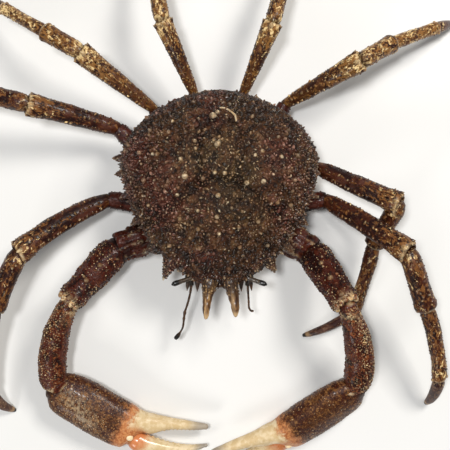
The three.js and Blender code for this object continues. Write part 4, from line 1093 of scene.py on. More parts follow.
def build_granules():
    """The dense granules of the shell, in two pieces, and the larger knobs in a third."""
    named = MIDLINE + PALE_KNOBS + SIDE_KNOBS
    knob_t, knob_p = np.array([place_on_back(x, y) for x, y, *_ in named]).T
    knob_at, knob_n = surface_back(knob_t, knob_p)
    knobs = Bag()
    for i, (x, y, r, h) in enumerate(named):
        white = 0.95 if i < len(MIDLINE) else 0.8 if i < len(MIDLINE + PALE_KNOBS) else 0.25
        axis = unit(knob_n[i] * 0.8 + vec(0.15 * math.sin(9 * i), 0.25 if y > WIDEST else -0.1, 0.35))
        verts, faces, share = spike(knob_at[i] - axis * 0.6, knob_at[i] + axis * h, r * 1.3, rows=11, cols=12, fullness=1.5, seed=i)
        verts = verts + 0.35 * fbm(verts, 1.6, 300 + i, 2)[:, None] * knob_n[i]
        patchy = smooth(fbm(verts, 1.5, 340 + i, 2), -0.5, 0.2)
        # Painted shade: darker at the foot of each knob.
        knobs.add(verts, faces, pale=smooth(share, 0.15, 0.75) * white * (0.35 + 0.65 * patchy), warm=0.1, dark=0.5 * (1 - share), bright=0.2)
    # a worm's chalky tube on the rear of the back
    line = curve_through([0, 1, 2, 3, 4], [[0.6, 56.8], [4.2, 56.4], [8.4, 53.6], [11.6, 50.6], [12.6, 46.8]], np.linspace(0, 4, 40))
    on = np.array([place_on_back(x, y) for x, y in line]).T
    path = surface_back(on[0], on[1])[0] + vec(0, 0, 0.75)
    verts, faces, share = sweep(path, 0.55 + 0.25 * np.linspace(0, 1, 40), 10, 0.9, 0.0, 0.12, 9)
    knobs.add(verts, faces, pale=0.75 + 0.25 * noise(verts, 2.5, 33), bright=0.3)

    # scattered knobs, then the crowd of granules between them
    count = 60000
    theta = RNG.uniform(-math.pi, math.pi, count)
    psi = np.arccos(1 - RNG.uniform(0, 1, count))
    keep = psi < math.radians(89)
    theta, psi = theta[keep], psi[keep]
    at, normal = surface_back(theta, psi)
    area_ok = RNG.uniform(0, 1, len(theta)) < np.clip(reach(theta) / 74, 0, 1)
    theta, psi, at, normal = theta[area_ok], psi[area_ok], at[area_ok], normal[area_ok]
    big = spread(np.concatenate([knob_at, at[:9000]]), 6.2 + 2.2 * RNG.uniform(0, 1, len(knob_at) + 9000))
    big = big[big >= len(knob_at)] - len(knob_at)
    r = RNG.uniform(1.1, 1.6, len(big))
    lean = unit(normal[big] + 0.3 * (at[big] - vec(0, CENTRE, 40)) / 70)
    verts, faces, share, which = bumps(at[big], lean, r, r * RNG.uniform(1.1, 1.8, len(big)), CONE, 10, 0.35)
    shade = np.where(RNG.uniform(0, 1, len(big)) < 0.22, RNG.uniform(0.4, 0.85, len(big)), 0.04)
    # Painted shade: darker at the foot of each knob.
    knobs.add(verts, faces, pale=share**3 * shade[which], dark=0.6 * (1 - share), bright=RNG.uniform(-0.6, 0.6, len(big))[which], warm=tint(at[big][:, 0], at[big][:, 1])[which] + RNG.uniform(-0.25, 0.25, len(big))[which])

    taken = np.concatenate([knob_at, at[big]])
    # coarse granules first, then the fine ones that fill the gaps between them
    crowd = at[9000:34000]
    gap = 2.6 + 0.5 * noise(crowd, 11, 9) + 1.5 * RNG.uniform(0, 1, len(crowd)) ** 2
    coarse = spread(np.concatenate([taken, crowd]), np.concatenate([np.full(len(taken), 0.01), gap]))
    coarse = coarse[coarse >= len(taken)] - len(taken) + 9000
    size = np.clip((gap[coarse - 9000] - 1.3) * RNG.uniform(0.55, 0.95, len(coarse)), 0.8, 1.9)
    taken = np.concatenate([taken, at[coarse]])
    pool = at[34000:]
    gap = np.full(len(pool), 1.62) + 0.25 * RNG.uniform(0, 1, len(pool))
    fine = spread(np.concatenate([taken, pool]), np.concatenate([np.full(len(taken), 0.01), gap]), len(taken) + 4300)
    fine = fine[fine >= len(taken)] - len(taken) + 34000
    small = np.concatenate([coarse, fine])
    size = np.concatenate([size, RNG.uniform(0.5, 0.85, len(fine))])
    tall = np.concatenate([RNG.uniform(0.7, 1.15, len(coarse)), RNG.uniform(0.75, 1.2, len(fine))])
    # Pale granule tips: partly pale crust, partly painted glints of wet tips; fewer at the front, more on the middle of
    # the back.
    odds = 0.02 + 0.09 * smooth(noise(at[small], 6, 29), 0.2, 0.8)
    odds[len(coarse) :] += 0.05 - 0.03 * smooth(-at[fine][:, 1], 20, 50)
    odds *= 0.4 + 0.75 * np.exp(-((at[small][:, 0] / 46) ** 2) - ((at[small][:, 1] - 8) / 44) ** 2)
    pale = np.where(RNG.uniform(0, 1, len(small)) < odds, RNG.uniform(0.4, 0.9, len(small)), 0.0)
    # Lighter and darker granules at random, and painted shade: darker towards the front and the rear ends of the back.
    light = np.clip(0.9 * noise(at[small], 4.5, 19) + RNG.normal(0.0, 0.55, len(small)) - 0.85 * smooth(-at[small][:, 1], 26, 56) - 0.8 * smooth(at[small][:, 1], 24, 54), -1.5, 1.4)
    front = at[small][:, 1] < CENTRE
    pieces = [knobs]
    for part in (front, ~front):
        s = small[part]
        bag = Bag()
        verts, faces, share, which = bumps(at[s], unit(normal[s] + 0.35 * RNG.normal(0, 0.4, (len(s), 3))), size[part], size[part] * tall[part], DOME, 6, 0.38)
        # Painted shade: darker at the foot of each granule, and towards the front and rear ends of the back.
        bag.add(
            verts, faces,
            pale=share ** np.where(size[part] > 0.9, 4.0, 1.4)[which] * pale[part][which],
            dark=0.85 * (1 - share) ** 1.3 + (0.16 * smooth(at[s][:, 1], 26, 50) + 0.14 * smooth(-at[s][:, 1], 26, 52))[which],
            bright=light[part][which] * (0.4 + 0.6 * share),
            warm=tint(at[s][:, 0], at[s][:, 1])[which] + RNG.uniform(-0.45, 0.45, len(s))[which],
        )
        pieces.append(bag)

    # granules of the flanks below the margin
    count = 9000
    theta = RNG.uniform(-math.pi, math.pi, count)
    a = np.radians(RNG.uniform(0.5, 36, count) ** 1.0)
    p, n = surface_flank(theta, a)
    k = spread(p, 2.0)
    p, n = p[k], n[k]
    moved = arch(p, np.ones(len(p)))
    ok = np.abs(moved[:, 2] - p[:, 2]) < 0.2
    p, n = p[ok], n[ok]
    r = RNG.uniform(0.55, 1.05, len(p))
    verts, faces, share, which = bumps(p, unit(n + vec(0, 0, 0.2)), r, r * 1.1, DOME, 6)
    # Painted shade: darker at the foot of each granule.
    pieces[0].add(verts, faces, pale=(share**1.5 * RNG.uniform(0.0, 0.35, len(p))[which]), dark=0.55 * (1 - share), warm=0.2, bright=RNG.uniform(-0.6, 0.5, len(p))[which])
    return pieces


MARGIN_SPINES = [  # y, length on the left and on the right, radius, lean forward of straight out, rise
    (-43, 9.0, 9.0, 4.6, 42, 0), (-24, 6.6, 6.8, 4.0, 34, 4), (-5, 6.2, 6.4, 3.8, 24, 6),
    (10.8, 3.2, 6.2, 4.2, 10, 8), (22, 2.4, 7.6, 4.2, 0, 8), (37, 1.2, 1.4, 2.8, -14, 12),
]
BROW_SPINES = [(25, -58, 55.5, 5.5, 3.4, 4), (16, -68, 45.5, 10.4, 2.5, 0.6), (22.8, -66, 43, 12, 2.6, 1.6)]
HORNS = {  # y, x, half breadth
    "left": [(-60, 6.4, 6.4), (-68, 7.6, 6.2), (-74.7, 9.1, 5.1), (-82.7, 10.95, 3.9), (-90.7, 12.1, 2.8), (-94.8, 12.0, 1.8), (-96.2, 12.1, 1.2)],
    "right": [(-60, -6.0, 6.6), (-68, -6.7, 6.4), (-74.7, -7.5, 5.3), (-82.7, -8.8, 3.6), (-90.7, -9.6, 2.8), (-95.6, -9.85, 1.9), (-97.9, -10.1, 1.2)],
}
ORBIT_TEETH = {"left": ((34.2, -50, 50), (42.0, -64.4, 46.8), 7.2), "right": ((-34.4, -52, 50), (-42.4, -70.0, 46.2), 7.2)}


def granulate(bag, p, n, low, high, pale=0.3, dark=0.6, sides=6, gap=1.5, **traits):
    """Covers points of a surface with small granules."""
    keep = spread(p, gap)
    p, n = p[keep], n[keep]
    r = RNG.uniform(low, high, len(p))
    verts, faces, share, which = bumps(p, n, r, r * RNG.uniform(0.8, 1.2, len(p)), DOME, sides, 0.35)
    light = RNG.uniform(-0.6, 0.7, len(p))
    pale = np.where(RNG.uniform(0, 1, len(p)) < 0.2, pale, 0.05)
    # Painted shade: darker at the foot of each granule.
    bag.add(verts, faces, pale=share**1.5 * pale[which], dark=dark * (1 - share), bright=light[which], **traits)


def build_spines():
    bag, horns = Bag(), Bag()
    horns.local = lambda v: v * vec(1, 0.22, 1)
    for side_name, sign in (("left", 1), ("right", -1)):
        m = vec(sign, 1, 1)

        def put(target, root, tip, radius, bend=(0, 0, 0), rows=14, cols=14, full=1.35, pale=0.7, start=0.5, ridges=0.03, dark=0.35, warm=0.1, seed=0, mirror=True):
            k = m if mirror else vec(1, 1, 1)
            verts, faces, share = spike(np.asarray(root) * k, np.asarray(tip) * k, radius, np.asarray(bend) * k, rows, cols, full, seed + (7 if sign > 0 else 0), ridges)
            target.add(verts, outward(verts, faces), pale=smooth(share, start, 0.97) * pale, dark=dark * (1 - 0.6 * smooth(share, 0.1, 0.9)), warm=warm, along=share, bright=-0.35)

        def crust(root, tip, radius, full, count, low, high, reach=0.9, gap=1.5, pale=0.5):
            """Granules over a spine, up to near its tip."""
            root, tip = np.asarray(root) * 1.0, np.asarray(tip) * 1.0
            along, side, up = axes(root, tip)
            t = RNG.uniform(0.05, reach, count)
            a = RNG.uniform(0, 2 * math.pi, count)
            out = np.cos(a)[:, None] * side + np.sin(a)[:, None] * up
            at = root + along * (t * np.linalg.norm(tip - root))[:, None] + (radius * (1 - t**full) ** 0.92 * 0.97)[:, None] * out
            granulate(bag, at, unit(out + 0.35 * along), low, high, pale, 0.7, gap=gap, warm=0.15)

        # a horn of the snout
        table = np.array(HORNS[side_name], float)
        y = np.linspace(table[0, 0], table[-1, 0], 46)
        shape = curve_through(-table[:, 0], table[:, 1:], -y)
        path = np.stack([shape[:, 0], y, 49.2 + (-62 - y) / 34 * 2.9], -1)
        verts, faces, share = sweep(path, shape[:, 1], 26, 0.9, 0.035, 0.2, 5)
        toward = smooth(verts[:, 1], -74, -86)
        horns.add(verts, faces, pale=0.6 * smooth(share, 0.88, 0.97) + 0.25 * toward * smooth(noise(verts * vec(1, 0.2, 1), 2.6, 15), 0.1, 0.6), dark=0.85 * (1 - toward), along=share)
        count = 900
        i = RNG.integers(0, 26, count)
        a = RNG.uniform(0, 2 * math.pi, count)
        out = np.stack([np.cos(a), np.zeros(count), 0.9 * np.sin(a)], -1)
        at = path[i] + shape[i, 1:2] * out * 0.97 + vec(0, 1, 0) * RNG.uniform(-0.5, 0.5, count)[:, None]
        keep = RNG.uniform(0, 1, count) < 1.15 - i / 24
        granulate(horns, at[keep], unit(out[keep]), 0.5, 0.95, 0.6, 0.6, gap=1.7)

        # the broad tooth behind the orbit
        root, tip, radius = ORBIT_TEETH[side_name]
        root, tip = vec(*root), vec(*tip)
        glow = 0.8 if sign < 0 else 0.25
        put(bag, root, tip, radius, rows=22, cols=22, full=1.15, pale=glow, start=0.78, ridges=0.02, dark=0.75, warm=0.5, seed=3, mirror=False)
        crust(root, tip, radius, 1.15, 900, 0.5, 1.2, 0.88 if sign < 0 else 0.95, 1.6)

        for i, (y, left, right, radius, lean, rise) in enumerate(MARGIN_SPINES):
            length = left if sign > 0 else right
            along = direction(-lean, rise)
            w = float(body_section(np.array([y]))[0][0])
            root = vec(w - 1.5, y, float(edge_height(np.array([y]))[0]) + 1) - along * 2
            put(bag, root, root + along * (length + 3.5), radius * 1.02, bend=(0, 0, 0.4), pale=0.22, start=0.75, seed=i, rows=16, dark=0.75)
            crust(root * m, (root + along * (length + 3.5)) * m, radius * 1.02, 1.35, 260, 0.4, 0.85, 0.9, 1.4)
            # a small tooth beside each large one
            for k, (off, size) in enumerate(((4.6, 0.35), (-5.2, 0.4), (8.6, 0.28))):
                y2 = y + off
                if y2 < -50 or y2 > 30:
                    continue
                w2 = float(body_section(np.array([y2]))[0][0])
                a2 = direction(-lean * 0.8 + 8 * k, rise + 14)
                r2 = vec(w2 - 1.6, y2, float(edge_height(np.array([y2]))[0]) + 2.4 + k)
                put(bag, r2, r2 + a2 * (min(length, 8) * size + 1.6), radius * 0.42, rows=9, cols=9, pale=0.15, seed=40 + 3 * i + k, dark=0.7)
        for i, (x, y, z, length, radius, out) in enumerate(BROW_SPINES):
            put(bag, vec(x, y + 2, z), vec(x + out, y - length, z + 0.5), radius * 1.1, full=1.7 if i else 1.35, pale=0.0 if i else 0.2, start=0.6, dark=1.0 if i else 0.8, seed=20 + i, warm=-0.2)
            if not i:
                crust(vec(x, y + 2, z) * m, vec(x + out, y - length, z + 0.5) * m, radius * 1.1, 1.35, 200, 0.4, 0.8, 0.9, 1.3)
        # brow ridge over the eye and the small teeth on it
        for k, (x, y, z) in enumerate([(22, -64, 54), (25.5, -60.5, 55.6), (30, -54, 56.5), (19, -67, 52), (31.5, -49, 57.5)]):
            put(bag, vec(x, y, z), vec(x + 1.5, y - 2.6, z + 3.2), 1.5, rows=9, cols=9, pale=0.5, seed=60 + k)
    return bag, horns


carapace = build_carapace().build("carapace_back", CARAPACE_FINISH, "carapace_shell", "carapace")
knobs, granules_front, granules_rear = build_granules()
knobs.build("carapace_knobs", GRANULE_FINISH, "carapace_shell")
granules_front.build("carapace_granules_front", GRANULE_FINISH, "carapace_shell")
granules_rear.build("carapace_granules_rear", GRANULE_FINISH, "carapace_shell")
margin, horns = build_spines()
margin.build("carapace_spines", GRANULE_FINISH, "carapace_shell")
horns.build("carapace_horns", HORN_FINISH, "carapace_shell")

# ------------------------------------------------------------------- limbs


def joint_traits(where, first, last, lip=2.0, amount=0.8, neck=True):
    """Pale rim at the far end of a piece, and a dark fold at its near end."""
    pale = amount * np.exp(-(((last - 1.0 - where) / lip) ** 2))
    dark = 0.6 * np.exp(-(((where - first) / 1.6) ** 2)) if neck else 0.0
    dark = dark + 0.55 * smooth(where, last - 0.5, last - 0.05)
    return pale, dark


def along_the(loft, seed, draw=1.7):
    """Places in the grain of a piece, which is drawn out along it."""
    return lambda v: np.stack([(v - loft.a) @ loft.along / draw, (v - loft.a) @ loft.side, (v - loft.a) @ loft.up], -1) + vec(37.0, 11.0, 5.0) * (seed % 89)


def leg_piece(kind, loft, follower, radius, seed, side_name, rear):
    bag = Bag()
    bag.local = along_the(loft, seed)
    around = {"ischium": 44, "merus": 48, "carpus": 44, "propodus": 40, "dactyl": 32}[kind]
    verts, faces, where = loft.skin(around, 0.85, end="tip" if kind == "dactyl" else "cup")
    if follower is not None:
        verts = make_room(verts, follower)
    t = (where - loft.first) / (loft.last - loft.first)
    pale, dark = joint_traits(where, loft.first, loft.last, lip=0.8, amount={"ischium": 0.0, "merus": 0.6, "carpus": 0.45, "propodus": 0.6, "dactyl": 0.0}[kind])
    patch = fbm(verts, 5, seed + 50, 2)
    pale = pale * smooth(patch, -0.5, 0.4) * smooth((verts - loft.a) @ loft.up, -radius * 0.6, radius * 0.5)
    dark = np.clip(dark, 0, 1)
    bright = {"merus": -0.45 + 1.1 * smooth(t, 0.45, 1.0) + 0.5 * smooth(t, 0.15, 0.0), "carpus": 0.15 + 0.4 * smooth(t, 0.3, 0.0) + 0 * t, "propodus": 0.3 + 0.4 * smooth(t, 0.4, 0.9), "dactyl": 0.2 + 0.7 * smooth(t, 0.3, 0.0), "ischium": -0.7 + 0 * t}[kind]
    warm = 0.4 - 0.8 * t if kind == "merus" else np.full(len(t), 0.05)
    bag.add(verts, faces, pale=pale, dark=dark, along=t, bright=bright, warm=warm)
    span = loft.last - loft.first
    if kind in ("merus", "carpus", "propodus"):
        # rows of small teeth along the upper edges
        for row, angle in enumerate((math.radians(64), math.radians(116)) if kind != "merus" else (math.radians(90), math.radians(40), math.radians(140))):
            n = max(4, int(span / (4.6 if kind == "merus" else 4.0)))
            d = loft.first + span * (0.12 + 0.78 * (np.arange(n) + RNG.uniform(-0.25, 0.25, n)) / (n - 1))
            a = angle + RNG.normal(0, 0.09, n)
            r = radius * RNG.uniform(0.1, 0.17, n)
            add_bumps(bag, loft, d, a, r, r * RNG.uniform(1.0, 1.6, n), CONE, 8, pale=RNG.uniform(0.0, 0.9, n) ** 3, lean=0.35, bright=0.2)
        d, a = scatter(loft, int(span * radius * 0.55), 1.7)
        r = RNG.uniform(0.3, 0.62, len(d))
        add_bumps(bag, loft, d, a, r, r * 0.85, DOME, 6, pale=np.where(RNG.uniform(0, 1, len(d)) < 0.06, 0.5, 0.0), bright=0.0)
    if kind == "merus":
        root = loft.a + loft.along * (span - 5) + loft.up * radius * 0.72
        verts, faces, share = spike(root, root + loft.along * 6.5 + loft.up * 5.8, radius * 0.37, rows=12, cols=10, seed=seed)
        bag.add(verts, faces, pale=smooth(share, 0.2, 0.9) * 0.8, bright=0.5, along=1.0)
        for s in (1, -1):
            root = loft.a + loft.along * (span - 3.4) + loft.side * s * radius * 0.9 + loft.up * radius * 0.35
            verts, faces, share = spike(root, root + loft.along * 3.4 + loft.side * s * 2.2 + loft.up * 1.2, radius * 0.26, rows=9, cols=9, seed=seed + 1)
            bag.add(verts, faces, pale=smooth(share, 0.5, 0.9) * 0.3, bright=-0.5, dark=0.35, along=1.0)
    if kind == "ischium":
        d, a = scatter(loft, 260, 2.0, 0.05, 0.95)
        r = RNG.uniform(0.4, 0.85, len(d))
        add_bumps(bag, loft, d, a, r, r * 0.9, DOME, 6, pale=np.where(RNG.uniform(0, 1, len(d)) < 0.12, 0.5, 0.0))
    if kind not in ("ischium", "dactyl"):
        # the pair of hinge knobs that carry the next piece
        for s in (1, -1):
            c = loft.a + loft.along * (span - 1.6) + loft.side * s * radius * 0.9 + loft.up * radius * 0.1
            verts, faces = round_body(c, radius * 0.24, (1.0, 1.0, 0.9), 7, 10, (loft.along, loft.up, loft.side))
            bag.add(verts, faces, pale=0.3, bright=0.3, along=1.0)
    return bag


KINDS = ["ischium", "merus", "carpus", "propodus", "dactyl"]
SEED = 100
for side_name, sign in (("left", 1), ("right", -1)):
    for leg_index, name in enumerate(LEG):
        p = leg_points(name, side_name)
        radii = [LEG[name]["ischium"], *LEG[name]["radius"]]
        rear = name in ("leg3", "leg4")
        lofts = []
        for i, kind in enumerate(KINDS):
            length = float(np.linalg.norm(p[i + 1] - p[i]))
            SEED += 3
            relief = shell_relief(SEED, 0.16, 0.3) if kind != "dactyl" else (lambda d, angle, q, s=SEED: 0.12 * fbm(q, 6, s, 2) + 0.1 * np.cos(6 * angle))
            table = CONICAL if rear and kind == "merus" else SECTIONS[kind]
            lofts.append(Loft(p[i], p[i + 1], rows_of(table, length, radii[i], BOW[name][side_name].get(kind, 0.0)), relief=relief))
        for i, kind in enumerate(KINDS):
            follower = lofts[i + 1] if i + 1 < len(lofts) else None
            bag = leg_piece(kind, lofts[i], follower, radii[i], SEED + 11 * i, side_name, rear)
            if sign < 0:
                bag.mirror()
            finish = ROOT_FINISH if kind == "ischium" else TIP_FINISH if kind == "dactyl" else LEG_FINISH["rear" if rear else "front"]
            bag.build(f"{name}_{side_name}_{kind}_shell", finish, "leg_tip" if kind == "dactyl" else "leg_shell", f"{name}_{side_name}_{kind}")


def wrist_glint_and_flecks(points):
    """How much of the patch beside the wrist, of pale flecks and painted highlight, lies at each point."""
    q = (points - vec(108, -172, 0))[:, :2]
    return np.exp(-((q @ np.array([-0.65, -0.76]) / 20) ** 2) - (q @ np.array([0.76, -0.65]) / 7.5) ** 2)


def claw_palm(loft, finger, seed, roll_side):
    bag = Bag()
    verts, faces, where = loft.skin(88, 0.85, start_cap=0.45, end="tip")
    # socket for the moving finger, in the outer half of the palm's far end
    verts = make_room(verts, finger, gap=0.45, reach=0.2)
    t = (where - loft.first) / (loft.last - loft.first)
    pale, dark = np.zeros(len(verts)), 0.7 * np.exp(-(((where - loft.first) / 2.0) ** 2))
    # the skin stays orange round the root of the moving finger
    near = np.linalg.norm(verts - (loft.a + loft.along * 71 + loft.side * -8), axis=1)
    if roll_side == "right":
        # a patch beside the wrist of pale flecks and painted highlight
        pale = 0.3 * wrist_glint_and_flecks(verts) * smooth(fbm(verts, 1.6, seed + 70, 2), -0.2, 0.4) * smooth(verts[:, 2] - loft.a[2], -4, 2)
    bag.add(verts, faces, pale=pale, dark=dark, along=t, warm=1 - smooth(near, 9, 19))
    span = loft.last - loft.first
    d, a = scatter(loft, 6400, 1.35, 0.03, 0.56)
    fade = 1 - smooth((d - loft.first) / span, 0.42, 0.56)
    r = RNG.uniform(0.3, 0.58, len(d)) * (0.55 + 0.45 * fade)
    # Pale flecks: a few everywhere, and many on the outer lower side and beside the wrist, where they are painted
    # highlights of wet granules.
    outer = np.clip(-np.cos(a), 0, 1) * (0.35 + 0.65 * (np.sin(a) > -0.4))
    spot = 0.85 * wrist_glint_and_flecks(loft.point(d, a)) if roll_side == "right" else 0.0
    flecks = np.where(RNG.uniform(0, 1, len(d)) < 0.04 + 0.4 * outer + spot, RNG.uniform(0.4, 1.0, len(d)), 0.0)
    add_bumps(bag, loft, d, a, r, r * 0.7, FINE_DOME, 6, pale=flecks * fade)
    # low teeth along the biting edge of the fixed finger
    for k in range(9):
        d0 = 93 + k * 3.0
        size = 1.1 - 0.07 * k
        q = loft.point(np.array([d0]), np.array([math.pi]))[0]
        verts, faces = round_body(q, size, (1.3, 0.9, 0.7), 6, 10, (loft.along, loft.up, loft.side))
        bag.add(verts, faces, along=(d0 - loft.first) / span)
    return bag


def build_claw(side_name, sign, seed):
    p = joints(CLAW["base"], CLAW["length"], POSE["claw"][side_name])
    roll = PALM_ROLL[side_name]
    kinds = ["ischium", "merus", "carpus"]
    lofts = []
    for i, kind in enumerate(kinds):
        length = float(np.linalg.norm(p[i + 1] - p[i]))
        rows = rows_of(CLAW_SECTIONS[kind], length)
        if kind == "ischium":
            relief = lambda d, angle, q, s=seed: 0.75 * np.cos(9 * angle + 1.2 * noise(q, 14, s)) + 0.5 * fbm(q, 6, s + 1, 2)
        elif kind == "merus":
            relief = lambda d, angle, q, s=seed: 0.6 * fbm(q, 9, s + 3, 2) + 0.3 * fbm(q, 3, s + 4, 2)
        else:
            relief = lambda d, angle, q, s=seed: 0.6 * fbm(q, 11, s + 5, 2) + 0.25 * fbm(q, 3, s + 6, 2)
        lofts.append(Loft(p[i], p[i + 1], rows, relief=relief))
    palm_relief = lambda d, angle, q, s=seed: (0.3 * fbm(q, 10, s + 8, 2) + 0.12 * fbm(q, 2.2, s + 9, 2)) * (1 - 0.7 * smooth(d, 60, 80))
    palm = Loft(p[3], p[4], PALM_SECTIONS, roll, 0.92, palm_relief)
    finger = Loft(p[3], p[4], FINGER_SECTIONS, roll, 1.0, lambda d, angle, q, s=seed: 0.1 * fbm(q, 7, s + 12, 2))
    followers = [lofts[1], lofts[2], palm]
    for i, kind in enumerate(kinds):
        loft = lofts[i]
        span = loft.last - loft.first
        bag = Bag()
        bag.local = along_the(loft, seed + i, 1.1)
        verts, faces, where = loft.skin(72, 0.85)
        verts = make_room(verts, followers[i], reach=0.3 if kind != "carpus" else 0.1)
        t = (where - loft.first) / span
        pale, dark = joint_traits(where, loft.first, loft.last, 1.4, {"ischium": 0.0, "merus": 0.4, "carpus": 0.6}[kind], neck=kind != "carpus")
        if kind == "carpus":
            pale = pale + 0.5 * np.exp(-(((where - loft.first - 4) / 7) ** 2))
        if kind == "merus":
            pale = pale + 0.35 * np.exp(-(((loft.last - where) / 6) ** 2))
        pale = pale * smooth(fbm(verts, 5, seed + 20 + i, 2), -0.2, 0.5)
        if kind == "ischium":
            off = verts - loft.a
            ang = np.arctan2(off @ loft.up, off @ loft.side)
            pale = pale + 0.22 * smooth(np.cos(9 * ang), 0.5, 1.0) * smooth(fbm(verts, 4, seed + 33, 2), 0.0, 0.5)
        if kind == "merus":
            dark = np.clip(dark + 0.12 + 0.3 * smooth(fbm(verts, 4, seed + 25, 2), -0.1, 0.6), 0, 1)
        bag.add(verts, faces, pale=np.clip(pale, 0, 1), dark=dark, along=t, warm=0.1, bright=-0.1 if kind == "carpus" else -0.6)
        if kind == "ischium":
            d, a = scatter(loft, 700, 2.2, 0.04, 0.96)
            r = RNG.uniform(0.5, 1.0, len(d))
            add_bumps(bag, loft, d, a, r, r, DOME, 7, pale=np.where(RNG.uniform(0, 1, len(d)) < 0.15, 0.5, 0.0), warm=0.1)
        elif kind == "merus":
            d, a = scatter(loft, 500, 7.4, 0.12, 0.95)
            r = RNG.uniform(0.9, 1.5, len(d))
            add_bumps(bag, loft, d, a, r, r * RNG.uniform(0.8, 1.3, len(d)), KNOB, 10, pale=RNG.uniform(0.0, 0.7, len(d)) ** 2.5, warm=0.1)
            d, a = scatter(loft, 8000, 1.42, 0.04, 0.985)
            r = RNG.uniform(0.4, 0.8, len(d))
            crusty = smooth(noise(loft.point(d, a), 7, seed + 61), -0.6, 0.6)
            add_bumps(bag, loft, d, a, r, r * 1.1, DOME, 6, pale=np.where(RNG.uniform(0, 1, len(d)) < 0.06 + 0.32 * crusty, RNG.uniform(0.25, 0.95, len(d)), 0.0), dark=0.14, warm=-0.2, bright=-0.2)
            for k, (tt, lift, out) in enumerate(((0.35, 5, 0), (0.62, 5, 0), (0.9, 6, 3))):
                root = p[1] + (p[2] - p[1]) * tt + loft.up * 8.6
                verts, faces, share = spike(root, root + loft.up * (lift + 1.5) + loft.along * (2 + out), 3.1, rows=12, cols=12, seed=seed + k)
                bag.add(verts, faces, pale=smooth(share, 0.3, 0.95) * 0.3, warm=0.2, along=tt)
        else:
            # More and bigger granules on the outer side, with more pale tips there, which are partly painted highlights
            # of the lit side.
            outer = lambda t, a: np.clip(0.25 + 0.75 * (-np.cos(a) * 0.75 + 0.45 * np.sin(a)), 0.12, 1.0)
            d, a = scatter(loft, 9000, 1.45, 0.01, 0.985, weight=outer)
            strong = outer(0, a)
            r = RNG.uniform(0.4, 0.8, len(d)) + 0.25 * strong
            add_bumps(bag, loft, d, a, r, r * 0.95, DOME, 7, pale=(RNG.uniform(0.0, 1, len(d)) ** 1.45) * (0.12 + 0.95 * strong) * smooth(noise(loft.point(d, a), 7, seed + 60), -0.9, 0.3), warm=0.1)
        if kind == "merus":
            # lobes that roof the joint over
            half, high = (float(v) for v in loft.section(span - 2)[:2])
            for k, degrees in enumerate((38, 66, 92, 118, 146)):
                out = loft.side * math.cos(math.radians(degrees)) * half + loft.up * math.sin(math.radians(degrees)) * high
                root = loft.a + loft.along * (span - 4.5) + out * 0.86
                verts, faces = round_body(root + loft.along * (3.4 + 0.9 * (k % 2)) + unit(out) * 0.5, 2.5 - 0.3 * (k % 2), (1.3, 1.0, 0.85), 9, 14, (loft.along, unit(np.cross(loft.along, out)), unit(out)))
                verts = verts + 0.3 * fbm(verts, 1.8, seed + 95 + k, 2)[:, None] * unit(out)
                bag.add(verts, faces, pale=(0.75 if k % 2 else 0.3) * smooth(fbm(verts, 1.6, seed + 99 + k, 2), -0.5, 0.3), warm=0.3, bright=0.3, along=1.0)
        for s in (1, -1):
            c = loft.a + loft.along * (span - 1.2) + loft.side * s * loft.section(span - 1)[0] * 0.86
            verts, faces = round_body(c, 2.3, (1.0, 1.0, 0.9), 8, 12, (loft.along, loft.up, loft.side))
            bag.add(verts, faces, pale=0.0 if kind == "ischium" else 0.6, dark=0.3 if kind == "ischium" else 0.0, along=1.0)
        if sign < 0:
            bag.mirror()
        bag.build(f"claw_{side_name}_{kind}_shell", ROOT_FINISH if kind == "ischium" else CLAW_FINISH, "claw_shell", f"claw_{side_name}_{kind}")
    bag = claw_palm(palm, finger, seed, side_name)
    # hinge knob of the moving finger, with the dark slit beside it
    f = palm
    for lift, size in ((1, 3.0), (-1, 2.6)):
        c = f.a + f.along * 70.6 + f.side * -7.6 + f.up * lift * 8.3
        verts, faces = round_body(c, size, (1.1, 0.9, 0.8), 9, 14, (f.along, f.side, f.up))
        bag.add(verts, faces, pale=1.0, along=0.62)
    if sign < 0:
        bag.mirror()
    bag.build(f"claw_{side_name}_palm_shell", PALM_FINISH, "claw_shell", f"claw_{side_name}_palm")

    bag = Bag()
    verts, faces, where = finger.skin(44, 0.85, start_cap=0.5, end="tip")
    t = (where - finger.first) / (finger.last - finger.first)
    bag.add(verts, faces, along=t, dark=0.5 * np.exp(-(((where - finger.first) / 1.4) ** 2)))
    for k in range(10):
        d0 = 84 + k * 4.1
        q = finger.point(np.array([d0]), np.array([0.0]))[0]
        verts, faces = round_body(q, 1.15 - 0.08 * k, (1.3, 0.9, 0.7), 6, 10, (finger.along, finger.up, finger.side))
        bag.add(verts, faces, along=(d0 - finger.first) / (finger.last - finger.first))
    if sign < 0:
        bag.mirror()
    bag.build(f"claw_{side_name}_finger_shell", FINGER_FINISH, "claw_finger", f"claw_{side_name}_finger")


build_claw("left", 1, 500)
build_claw("right", -1, 600)

# --------------------------------------------------------- underside, head


